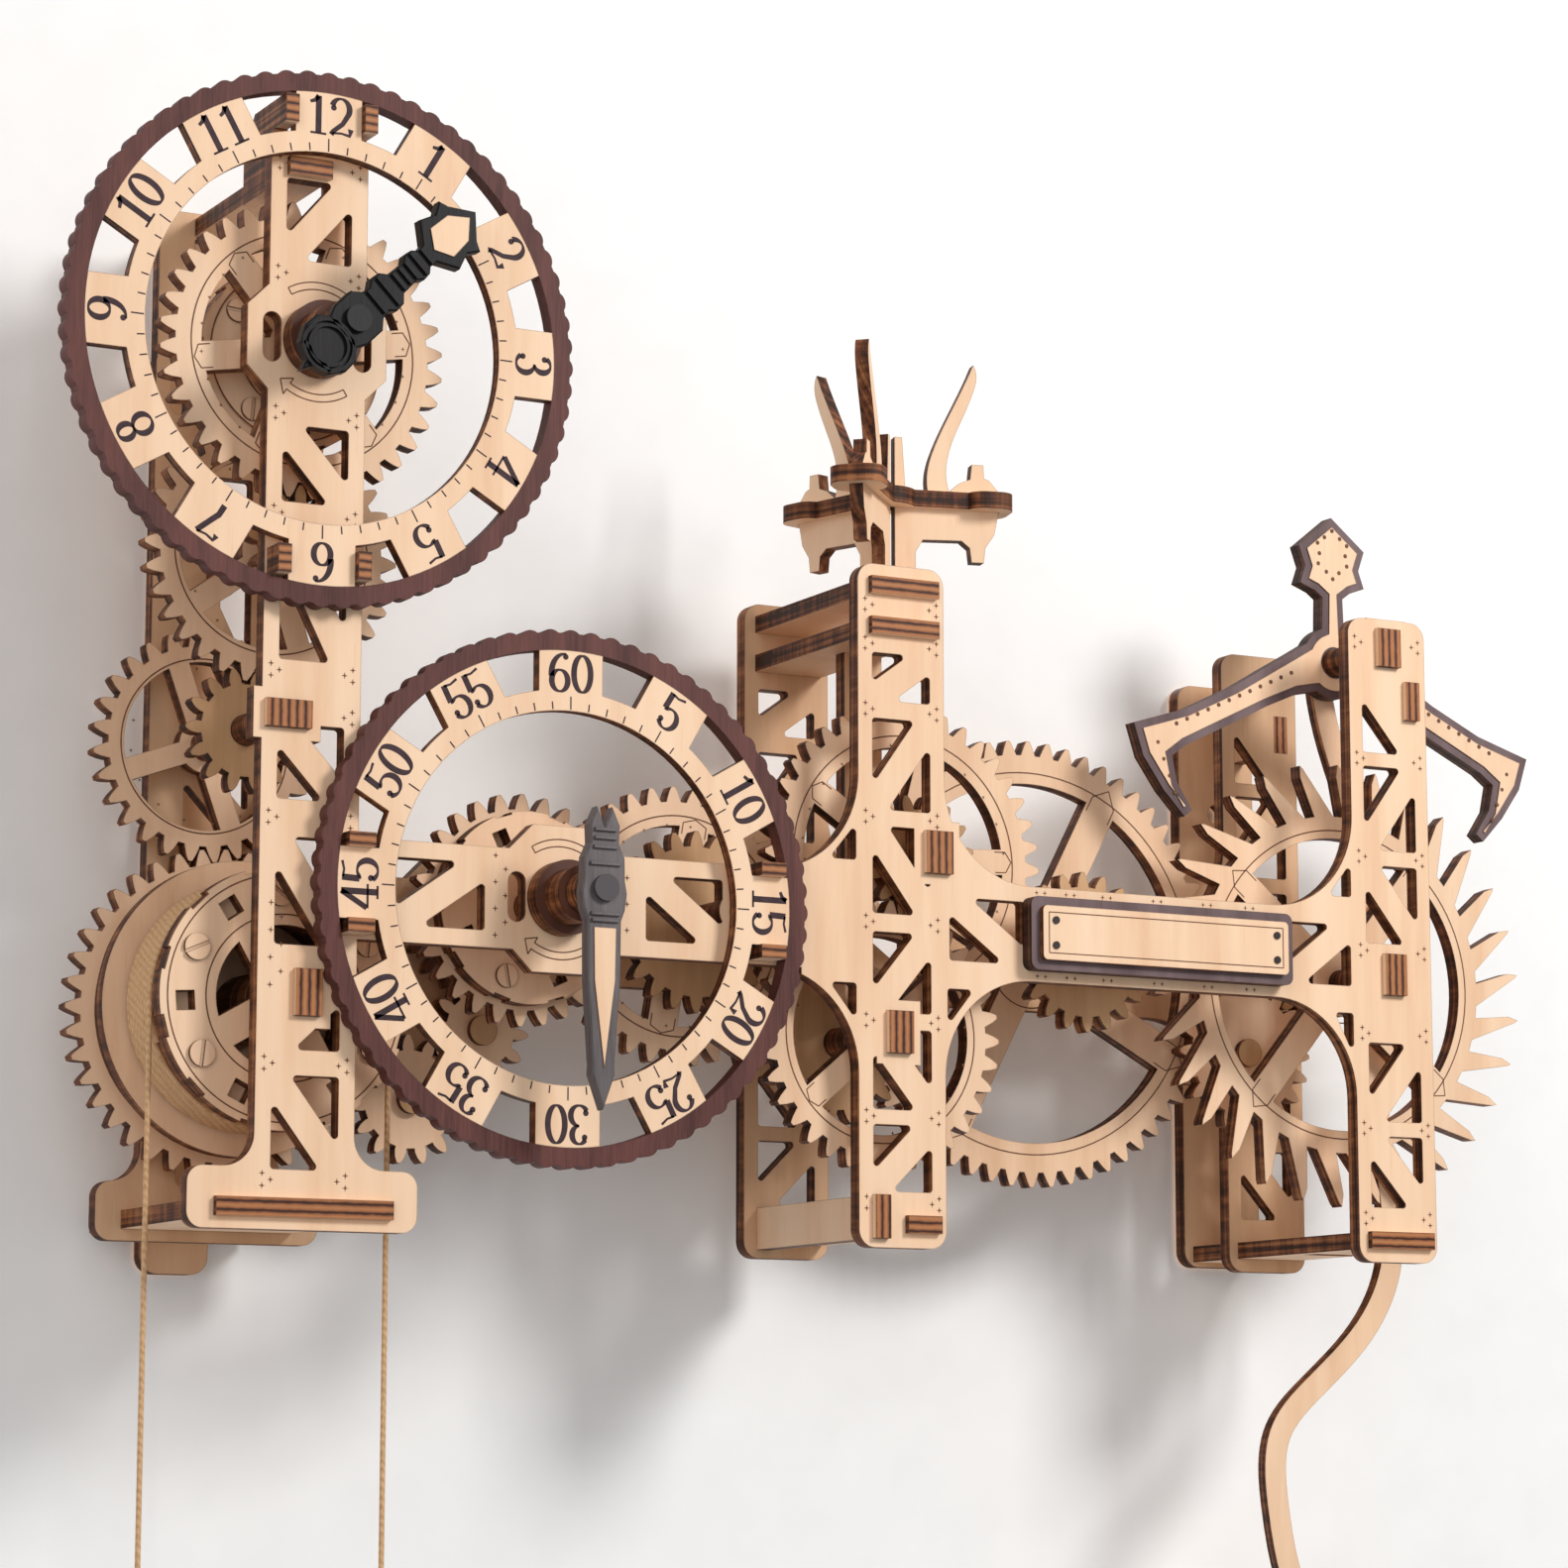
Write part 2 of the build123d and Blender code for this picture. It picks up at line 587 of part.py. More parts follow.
# Brackets: tongues beside the tiles that carry the dials in front of the front plate
BRACKET_END = DIAL_DEPTH + DIAL_T + 2
TONGUE_TOP = HOUR[1] + TONGUE[1]
TONGUE_LOW = HOUR[1] + TONGUE[0]
with BuildPart() as brackets:
    for x0, x1, z0, z1 in tongue_slots():
        with BuildSketch(place(((x0 + x1) / 2, (z0 + z1) / 2), FRONT - 2)):
            Rectangle(x1 - x0, z1 - z0)
        extrude(amount=BRACKET_END - FRONT + 2)
    for side in (-1, 1):
        outer_x = HOUR[0] + side * DIAL_BRACKET_HALF + BRACKET_T / 2
        with BuildSketch(Plane((outer_x, 0, 0), x_dir=(0, -1, 0), z_dir=(-1, 0, 0))):
            with BuildLine():
                Polyline((FRONT - 14, HOUR_TOWER_H - 8), (FRONT, HOUR_TOWER_H - 8),
                         (FRONT, HOUR_TOWER_H), (FRONT + SHEET, HOUR_TOWER_H),
                         (FRONT + SHEET, TONGUE_LOW), (BRACKET_END, TONGUE_LOW),
                         (BRACKET_END, TONGUE_TOP), (FRONT - 8, TONGUE_TOP),
                         (FRONT - 14, TONGUE_TOP - 8), close=True)
            make_face()
        extrude(amount=BRACKET_T)
export(brackets, "dial_brackets")

# ------------------------------------------------------------------ drum and great wheel
DRUM_R = CORD_RING_R - CORD_R - 0.3
make_wheel("great_wheel", "great", 4, 9.0, rim=6.0, turn=20)
make_arbor("great_arbor", DRUM, [(24.4, 27, 4.0), (31, 33, 5.0)])
RATCHET = (33.4, 37.4)
RATCHET_TEETH = 24
RATCHET_R = 19.0
CLICK_AT = 24.5
with BuildPart() as ratchet:
    with BuildSketch(place(DRUM, RATCHET[0])):
        with BuildLine():
            Polyline(*[(r * cos(radians(a + 360 * k / RATCHET_TEETH)),
                        r * sin(radians(a + 360 * k / RATCHET_TEETH)))
                       for k in range(RATCHET_TEETH) for r, a in ((RATCHET_R - 2.6, 0.0), (RATCHET_R, 1.0))],
                     close=True)
        make_face()
        Circle(ARBOR_R + RUNNING, mode=Mode.SUBTRACT)
    extrude(amount=RATCHET[1] - RATCHET[0])
export(ratchet, "ratchet_wheel")

with BuildPart() as clicks:
    for k in range(2):
        bearing_deg = 110 + 180 * k
        pivot = towards(DRUM, bearing_deg, CLICK_AT)
        with BuildSketch(place(pivot, 31.0)):
            Circle(1.8)
        extrude(amount=RATCHET[1] + 0.8 - 31.0)
        with BuildSketch(place(pivot, RATCHET[0] + 0.2)):
            Circle(3.4)
        extrude(amount=3.4)
        with BuildSketch(place(DRUM, RATCHET[0] + 0.2)):
            with BuildLine():
                Polyline(towards(ORIGIN, bearing_deg, CLICK_AT + 3.0),
                         towards(ORIGIN, bearing_deg, CLICK_AT - 3.2),
                         towards(ORIGIN, bearing_deg + 38, RATCHET_R + 0.5),
                         towards(ORIGIN, bearing_deg + 36, RATCHET_R + 3.0), close=True)
            make_face()
        extrude(amount=3.4)
export(clicks, "ratchet_clicks")

with BuildPart() as drum_core:
    with BuildSketch(place(DRUM, 39.0)):
        Circle(32.4)
        Circle(ARBOR_R + RUNNING, mode=Mode.SUBTRACT)
    extrude(amount=SHEET)
    with BuildSketch(place(DRUM, 37.4)):
        Circle(8)
        Circle(ARBOR_R + RUNNING, mode=Mode.SUBTRACT)
    extrude(amount=1.6)
    with BuildSketch(place(DRUM, 43.0)):
        Circle(DRUM_R)
        Circle(20.0, mode=Mode.SUBTRACT)
        Circle(7.0)
        Circle(ARBOR_R + RUNNING, mode=Mode.SUBTRACT)
    extrude(amount=20.0)
export(drum_core, "drum_core")

CHEEK_DEPTH = 63.0
CHEEK_R = 28.4
with BuildPart() as cheek:
    with BuildSketch(place(DRUM, CHEEK_DEPTH)):
        Circle(CHEEK_R)
        with PolarLocations(CHEEK_R + 0.4, 12, start_angle=15):
            Rectangle(2.4, 5.0, mode=Mode.SUBTRACT)
        Circle(15.7, mode=Mode.SUBTRACT)
        Circle(7.0)
        with PolarLocations(0, 4, start_angle=30):
            Rectangle(20, 7, align=(Align.MIN, Align.CENTER))
        with PolarLocations(22.6, 6, start_angle=4):
            Rectangle(4.2, 4.2, mode=Mode.SUBTRACT)
        Circle(ARBOR_R + RUNNING, mode=Mode.SUBTRACT)
    extrude(amount=SHEET)
export(cheek, "drum_front_cheek")

with BuildPart() as drum_screws:
    with BuildSketch(place(DRUM, CHEEK_DEPTH + SHEET)):
        with PolarLocations(22.6, 6, start_angle=34):
            Circle(2.9)
    extrude(amount=0.9)
    with BuildSketch(place(DRUM, CHEEK_DEPTH + SHEET + 0.5)):
        with PolarLocations(22.6, 6, start_angle=34):
            Rectangle(7, 0.7, rotation=50)
    extrude(amount=0.5, mode=Mode.SUBTRACT)
export(drum_screws, "drum_screws")

# ------------------------------------------------------------------ hour train and hour hand
BACK, FACE = END_COLLARS
HAND_END = HAND_DEPTH + HAND_T + 1.2
# Stacked washers between the front plate and a hand, and the cap in front of the hand
HAND_WASHERS = [(79.4, 84, 8.2), (84, 91, 6.2), (91, HAND_DEPTH, 4.6),
                (HAND_DEPTH + HAND_T, HAND_END, 2.9)]
HOUR_CLUTCH = (58.0, 64.0)
MINUTE_CLUTCH = (59.0, 63.5)
make_wheel("idler_wheel", "idler", 4, 6.0, rim=3.6, spoke_w=5.0, turn=20)
make_arbor("idler_arbor", IDLER, [(BACK, 27, 4.0), (31, 51, 3.4), (55, FACE, 3.4)], "idler_pinion")
make_wheel("motion_wheel", "motion", 5, 7.0, rim=4.5, spoke_w=5.5)
make_arbor("motion_arbor", MOTION, [(BACK, 51, 3.4), (55, 67, 3.4), (71, FACE, 3.4)], "motion_pinion")
make_wheel("hour_wheel", "hour", 6, 8.0, rim=6.0, spoke_w=6.5, turn=10)
make_arbor("hour_arbor", HOUR, [(BACK, HOUR_CLUTCH[0], 3.6), (HOUR_CLUTCH[1], 67, 3.6), (71, FACE, 5.0)]
           + HAND_WASHERS, end=HAND_END)
make_arbor("minute_arbor", MINUTE, [(BACK, 27, 4.0), (31, 55, 3.6), (MINUTE_CLUTCH[1], FACE, 4.0)]
           + HAND_WASHERS, "minute_pinion", end=HAND_END)


def make_clutch(name, centre, span, radius, inner, start):
    """A friction disc with square windows and screw heads on its front."""
    low, thickness = span[0], span[1] - span[0]
    with BuildPart() as disc:
        with BuildSketch(place(centre, low)):
            Circle(radius)
            with PolarLocations(radius + 0.3, 10):
                Rectangle(1.8, 4.0, mode=Mode.SUBTRACT)
            with PolarLocations(inner, 4, start_angle=start):
                Rectangle(3.6, 3.6, mode=Mode.SUBTRACT)
            Circle(ARBOR_R, mode=Mode.SUBTRACT)
        extrude(amount=thickness)
        with BuildSketch(place(centre, low + thickness)):
            with PolarLocations(inner, 4, start_angle=start + 45):
                Circle(2.6)
        extrude(amount=0.8)
        with BuildSketch(place(centre, low + thickness + 0.4)):
            with PolarLocations(inner, 4, start_angle=start + 45):
                Rectangle(6, 0.7, rotation=30)
        extrude(amount=0.5, mode=Mode.SUBTRACT)
    export(disc, name)


make_clutch("hour_clutch", HOUR, HOUR_CLUTCH, 21.0, 15.5, 10)
make_clutch("minute_clutch", MINUTE, MINUTE_CLUTCH, 21.5, 16.5, 25)


def make_hand(name, centre, clock_deg, side):
    """A flat hand that can be set by turning it on its arbor, between the washers and the cap.
    `side` is half its outline, (half width, distance from the centre)."""
    outline = side + [(-x, y) for x, y in reversed(side) if x > 0]
    turn = radians(-clock_deg)
    points = [(x * cos(turn) - y * sin(turn), x * sin(turn) + y * cos(turn)) for x, y in outline]
    with BuildPart() as hand:
        with BuildSketch(place(centre, HAND_DEPTH)):
            with BuildLine():
                Polyline(*points, close=True)
            make_face()
            Circle(ARBOR_R + RUNNING, mode=Mode.SUBTRACT)
        extrude(amount=HAND_T)
        chamfer(hand.faces().sort_by(Axis.Y)[0].edges(), 0.35)
    export(hand, name)


HOUR_HAND_DEG = 45.0
MINUTE_HAND_DEG = 180.0
HOUR_HAND = [(0, -17.5), (1.0, -15.0), (4.6, -13.4), (6.6, -10.0), (6.4, -6.4), (4.4, -4.4), (5.4, -2.0),
             (5.4, 3.0), (3.6, 5.0), (3.2, 7.0), (4.4, 8.6), (4.2, 11.0), (2.6, 12.6), (2.4, 17.0),
             (3.4, 18.4), (3.2, 20.4), (2.2, 21.6), (2.4, 23.4), (6.8, 26.6), (5.4, 30.4), (7.0, 33.2),
             (4.8, 34.2), (0, 38.5)]
MINUTE_HAND = [(0, -13.0), (1.8, -17.6), (3.6, -13.6), (3.4, -9.6), (4.8, -6.6), (4.9, -1.6), (5.4, 1.0),
               (4.9, 4.6), (4.0, 7.0), (3.9, 20.0), (2.6, 38.0), (2.7, 40.0), (0, 47.5)]
make_hand("hour_hand", HOUR, HOUR_HAND_DEG, HOUR_HAND)
make_hand("minute_hand", MINUTE, MINUTE_HAND_DEG, MINUTE_HAND)

# ------------------------------------------------------------------ going train
make_gear("lower_idler", "lower_idler", bore=ARBOR_R + RUNNING)
make_gear("upper_idler", "upper_idler", bore=ARBOR_R + RUNNING)
# Fixed pins in the rear plates: (centre, front end, collars behind and before the gears)
PINS = [(LOWER_IDLER, 33.0, [(24, 26.6), (31.4, 33.0)]), (UPPER_IDLER, 33.0, [(24, 26.6), (31.4, 33.0)]),
        (FOURTH, 47.2, [(24, 34.6), (45.4, 47.2)])]
with BuildPart() as pins:
    for centre, end, collars in PINS:
        with BuildSketch(place(centre, REAR - 1)):
            Circle(ARBOR_R)
        extrude(amount=end - REAR + 1)
        for low, high in collars:
            with BuildSketch(place(centre, low)):
                Circle(3.4)
            extrude(amount=high - low)
export(pins, "gear_pins")

make_wheel("minute_wheel", "minute", 4, 8.0, rim=4.0, spoke_w=6.0, turn=15)
make_wheel("arm_wheel", "arm", 4, 8.0, rim=5.5, spoke_w=7.5, turn=80)
make_wheel("lower_wheel", "lower", 4, 7.0, rim=5.0, spoke_w=6.0, turn=40)
make_wheel("upper_wheel", "upper", 5, 7.0, rim=6.5, spoke_w=6.0, turn=75)
make_wheel("bridge_wheel", "bridge", 4, 9.0, rim=7.0, spoke_w=8.5, turn=62)
make_arbor("arm_arbor", ARM, [(BACK, 46, 3.4), (50, 55, 3.4), (59, FACE, 3.4)], "arm_pinion")
make_arbor("lower_arbor", LOWER, [(BACK, 46, 3.4), (50, 67, 3.4), (71, FACE, 3.4)], "lower_pinion")
make_arbor("upper_arbor", UPPER, [(56.4, 60, 3.4), (64, 67, 3.4), (71, FACE, 3.4)], "upper_pinion",
           start=MID_DEPTH - 1)
make_arbor("bridge_arbor", BRIDGE, [(BACK, 35, 3.4), (39, 60, 3.4), (64, FACE, 3.4)], "bridge_pinion")
make_arbor("escape_arbor", ESCAPE, [(BACK, 41, 3.0), (45, 47.2, 3.0), (57, FACE, 3.4)],
           "escape_pinion")
make_gear("fourth_pinion", "fourth_pinion", thickness=6.0, bore=ARBOR_R + RUNNING)
make_gear("fourth_wheel", "fourth", bore=ARBOR_R + RUNNING)

RING = (36.0, 41.5)      # the escape wheel's ring
with BuildPart() as escape_wheel:
    with BuildSketch(place(ESCAPE, ESCAPE_DEPTH)):
        with BuildLine():
            Polyline(*[towards(ORIGIN, a + 360 * k / ESCAPE_TEETH, r)
                       for k in range(ESCAPE_TEETH)
                       for r, a in ((RING[1], -4.6), (ESCAPE_TIP_R - 0.8, 4.6), (ESCAPE_TIP_R, 5.4),
                                    (ESCAPE_TIP_R - 3.0, 5.9), (RING[1], 3.2))], close=True)
        make_face()
        Circle(RING[0], mode=Mode.SUBTRACT)
        Circle(8)
        with PolarLocations(0, 4, start_angle=50):
            Rectangle(RING[0] + 2, 7, align=(Align.MIN, Align.CENTER))
        Circle(ARBOR_R, mode=Mode.SUBTRACT)
    extrude(amount=SHEET)
export(escape_wheel, "escape_wheel")

# ------------------------------------------------------------------ anchor and pendulum
ANCHOR_SIDE = [(5.0, 6.0), (12.5, 1.6), (21.0, -3.2), (30.0, -8.4), (44.0, -15.0), (59.0, -19.6),
               (56.4, -27.6), (50.8, -35.4), (44.8, -41.6), (42.6, -39.8), (46.8, -33.6),
               (48.2, -27.0), (44.4, -24.2), (30.6, -17.6), (20.0, -12.4), (11.0, -8.6), (3.0, -7.0)]
SPEAR_SIDE = [(3.4, 4.0), (3.0, 16.4), (5.2, 18.0), (9.6, 19.6), (8.0, 24.0), (9.8, 29.0), (0, 36.8)]
with BuildPart() as anchor:
    with BuildSketch(place(ANCHOR, ESCAPE_DEPTH)):
        Circle(9.0)
        for side in (-1, 1):
            with BuildLine():
                Polyline(*[(side * x, z) for x, z in ANCHOR_SIDE], close=True)
            make_face()
        with BuildLine():
            Polyline(*(SPEAR_SIDE + [(-x, z) for x, z in reversed(SPEAR_SIDE[:-1])]), close=True)
        make_face()
        Circle(ARBOR_R, mode=Mode.SUBTRACT)
    extrude(amount=SHEET)
export(anchor, "anchor")
make_arbor("anchor_arbor", ANCHOR, [(BACK, ROD_DEPTH, 3.4), (57, FACE, 3.4)])

BOB_Z = ANCHOR_Z - BEAT_LENGTH
ROD_W = 6.0
ROD_LINE = [(0, ANCHOR_Z), (3.0, 132.0), (12.6, 104.0), (14.6, 69.0), (16.4, 30.0), (17.7, -0.6),
            (11.4, -13.0), (-6.7, -30.0), (-15.6, -40.0), (-16.6, -57.5), (-12.4, -76.0), (0, BOB_Z)]
with BuildPart() as rod:
    with BuildSketch(place((RIGHT_TOWER_X, 0), ROD_DEPTH)):
        with BuildLine() as centreline:
            Spline(*ROD_LINE)
        trace(line_width=ROD_W)
        with Locations((0, ANCHOR_Z)):
            Circle(6.0)
            Circle(ARBOR_R, mode=Mode.SUBTRACT)
    extrude(amount=ROD_T)
export(rod, "pendulum_rod")

BOB_R = 21.0
with BuildPart() as bob:
    for depth in (ROD_DEPTH - SHEET, ROD_DEPTH + ROD_T):
        with BuildSketch(place((RIGHT_TOWER_X, BOB_Z), depth)):
            Circle(BOB_R)
        extrude(amount=SHEET)
    with BuildSketch(place((RIGHT_TOWER_X, BOB_Z - 12), ROD_DEPTH)):
        Circle(5)
    extrude(amount=ROD_T)
export(bob, "pendulum_bob")

# ------------------------------------------------------------------ name board and finial
BOARD_X = (177.0, 249.5)
BOARD_Z = (64.4, 81.4)
with BuildPart() as name_board:
    with BuildSketch(place(ORIGIN, FRONT + SHEET)):
        rounded_rect(*BOARD_X, *BOARD_Z, 2.0)
    extrude(amount=SHEET)
export(name_board, "name_board")
with BuildPart() as name_plate:
    with BuildSketch(place(ORIGIN, FRONT + 2 * SHEET)):
        rounded_rect(BOARD_X[0] + 2.2, BOARD_X[1] - 2.2, BOARD_Z[0] + 2.2, BOARD_Z[1] - 2.2, 1.2)
    extrude(amount=1.6)
export(name_plate, "name_plate")

FINIAL_AT = (LEFT_TOWER_X + 3.5, -66.0)    # X and Y of the finial's mast
FINIAL_DEGS = (-134.0, -14.0, 106.0)       # directions of its blades, seen from above
FINIAL_FOOT_Z = 153.2
BLADE_T = 3.2
BLADE_START = 1.6        # distance from the mast's axis at which a blade's outline starts
# Outline of a blade as (distance outwards, height): its body and the two edges of its horn
BLADE_BODY = [(8.2, 23.8), (2.8, 23.6), (2.0, 36.2), (0.2, 36.2), (0.2, 0.0), (5.2, 0.0), (5.2, 9.0),
              (7.0, 12.0), (16.4, 12.2), (18.4, 10.6), (18.8, 7.2), (21.8, 7.2), (22.2, 10.8),
              (24.4, 14.0), (25.4, 19.0), (25.4, 24.4), (23.2, 27.0), (22.0, 27.4), (21.8, 30.6),
              (19.0, 30.6), (18.6, 27.0), (16.0, 26.0), (13.4, 23.8)]
HORN_OUTER = [(13.4, 23.8), (12.8, 29.8), (14.6, 36.6), (17.3, 42.6), (19.5, 48.0), (20.3, 51.6),
              (19.5, 54.6)]
HORN_INNER = [(19.5, 54.6), (16.8, 48.6), (13.2, 41.4), (9.8, 34.0), (8.1, 28.0), (8.2, 23.8)]
with BuildPart() as blades:
    for direction in FINIAL_DEGS:
        out = Vector(cos(radians(direction)), sin(radians(direction)), 0)
        start = Vector(*FINIAL_AT, FINIAL_FOOT_Z) + out * BLADE_START
        face_normal = out.cross(Vector(0, 0, 1))
        with BuildSketch(Plane(start, x_dir=out, z_dir=face_normal)):
            with BuildLine():
                Polyline(*BLADE_BODY)
                Spline(*HORN_OUTER)
                Spline(*HORN_INNER)
            make_face()
        extrude(amount=BLADE_T / 2, both=True)
export(blades, "finial_blades")

# A three-armed collar lies over the blades, which pass through its slots
COLLAR_Z = FINIAL_FOOT_Z + 19.4
COLLAR_ARM = 24.6        # distance from the axis to the middle of an arm's round end
COLLAR_SLOT = BLADE_START + BLADE_BODY[15][0] + 0.3
with BuildPart() as collar:
    with BuildSketch(Plane((*FINIAL_AT, COLLAR_Z))):
        Circle(7.0)
        for direction in FINIAL_DEGS:
            with PolarLocations(0, 1, start_angle=direction):
                Rectangle(COLLAR_ARM, 7.0, align=(Align.MIN, Align.CENTER))
            with PolarLocations(COLLAR_ARM, 1, start_angle=direction):
                RectangleRounded(11, 12.4, 4)
    extrude(amount=SHEET)
    for direction in FINIAL_DEGS:
        with BuildSketch(Plane((*FINIAL_AT, COLLAR_Z))):
            with PolarLocations(0, 1, start_angle=direction):
                Rectangle(COLLAR_SLOT, BLADE_T, align=(Align.MIN, Align.CENTER))
        extrude(amount=SHEET, mode=Mode.SUBTRACT)
export(collar, "finial_collar")

# ------------------------------------------------------------------ cords
# Straight down from the drum's two sides: the weight's cord on the left, the winding cord on the right
cord_length = DRUM[1] - CORD_BOTTOM_Z
for name, side in (("weight_cord", -1), ("winding_cord", 1)):
    with BuildPart() as cord:
        with BuildSketch(Plane((side * CORD_RING_R, -CORD_DEPTH, CORD_BOTTOM_Z))):
            Circle(CORD_R)
        extrude(amount=cord_length)
    export(cord, name)

HOOK_R = 7.0
with BuildPart() as cord_ends:
    for side, inner in ((-1, 3.6), (1, 4.6)):
        centre = (side * CORD_RING_R, CORD_BOTTOM_Z - HOOK_R)
        with BuildSketch(place(centre, CORD_DEPTH - SHEET / 2)):
            Circle(HOOK_R)
            Circle(inner, mode=Mode.SUBTRACT)
            if side < 0:
                Rectangle(12, 3, align=(Align.MAX, Align.MIN), mode=Mode.SUBTRACT)
        extrude(amount=SHEET)
export(cord_ends, "cord_ends")
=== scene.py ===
"""Looks of the plywood wall clock: laser-cut birch, stained dials and hands, engraving and cord.

Shapes are in millimetres as seen from the front, (across, up), with depth as the distance from
the wall; `at` turns them into the frame's metres. Materials, lamps and the camera are in metres.
"""
import json
import math

import bmesh
import bpy
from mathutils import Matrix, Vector


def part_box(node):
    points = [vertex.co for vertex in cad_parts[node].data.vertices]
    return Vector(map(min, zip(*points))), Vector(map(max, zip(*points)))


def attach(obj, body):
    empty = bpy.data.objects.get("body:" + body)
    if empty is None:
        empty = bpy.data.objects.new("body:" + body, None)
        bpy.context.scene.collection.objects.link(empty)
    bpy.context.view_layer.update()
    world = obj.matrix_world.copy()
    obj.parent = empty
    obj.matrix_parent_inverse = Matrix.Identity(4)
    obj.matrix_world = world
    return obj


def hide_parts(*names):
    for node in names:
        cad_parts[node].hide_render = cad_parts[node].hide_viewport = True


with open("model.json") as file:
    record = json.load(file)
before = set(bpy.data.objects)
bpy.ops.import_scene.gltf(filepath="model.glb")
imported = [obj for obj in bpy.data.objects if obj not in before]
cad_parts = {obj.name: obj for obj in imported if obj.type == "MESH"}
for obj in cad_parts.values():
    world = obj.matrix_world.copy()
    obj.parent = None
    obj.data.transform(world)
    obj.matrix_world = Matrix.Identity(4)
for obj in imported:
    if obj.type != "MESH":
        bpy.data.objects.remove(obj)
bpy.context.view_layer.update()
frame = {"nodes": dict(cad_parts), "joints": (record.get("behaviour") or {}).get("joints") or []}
nodes = frame["nodes"]
MM = 0.001


def at(across, depth, up):
    return Vector((across * MM, -depth * MM, up * MM))


def pivot(body):
    """Where a body's arbor stands, (across, up) in millimetres."""
    joint = next(j for j in frame["joints"] if j["child"] == body)
    return joint["pos_m"][0] / MM, joint["pos_m"][2] / MM


def front(node):
    """Depth of a node's front side, in millimetres."""
    return -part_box(node)[0][1] / MM


def polar(centre, degrees, radius):
    a = math.radians(degrees)
    return centre[0] + radius * math.cos(a), centre[1] + radius * math.sin(a)


def turned(centre, degrees, x, y):
    """The point (x, y), turned counter-clockwise and then moved to `centre`."""
    a = math.radians(degrees)
    return (centre[0] + x * math.cos(a) - y * math.sin(a),
            centre[1] + x * math.sin(a) + y * math.cos(a))


def new_piece(name, data):
    """An object for a mesh, curve, lamp or camera, linked to the scene."""
    piece = bpy.data.objects.new(name, data)
    bpy.context.scene.collection.objects.link(piece)
    return piece


# ------------------------------------------------------------------ materials
FACING = 0.6             # a side faces an axis when its normal has more than this along it
EDGE_GAIN = 6.0          # how quickly the tone of a sharp edge sets in
BUMP_M = 0.0002


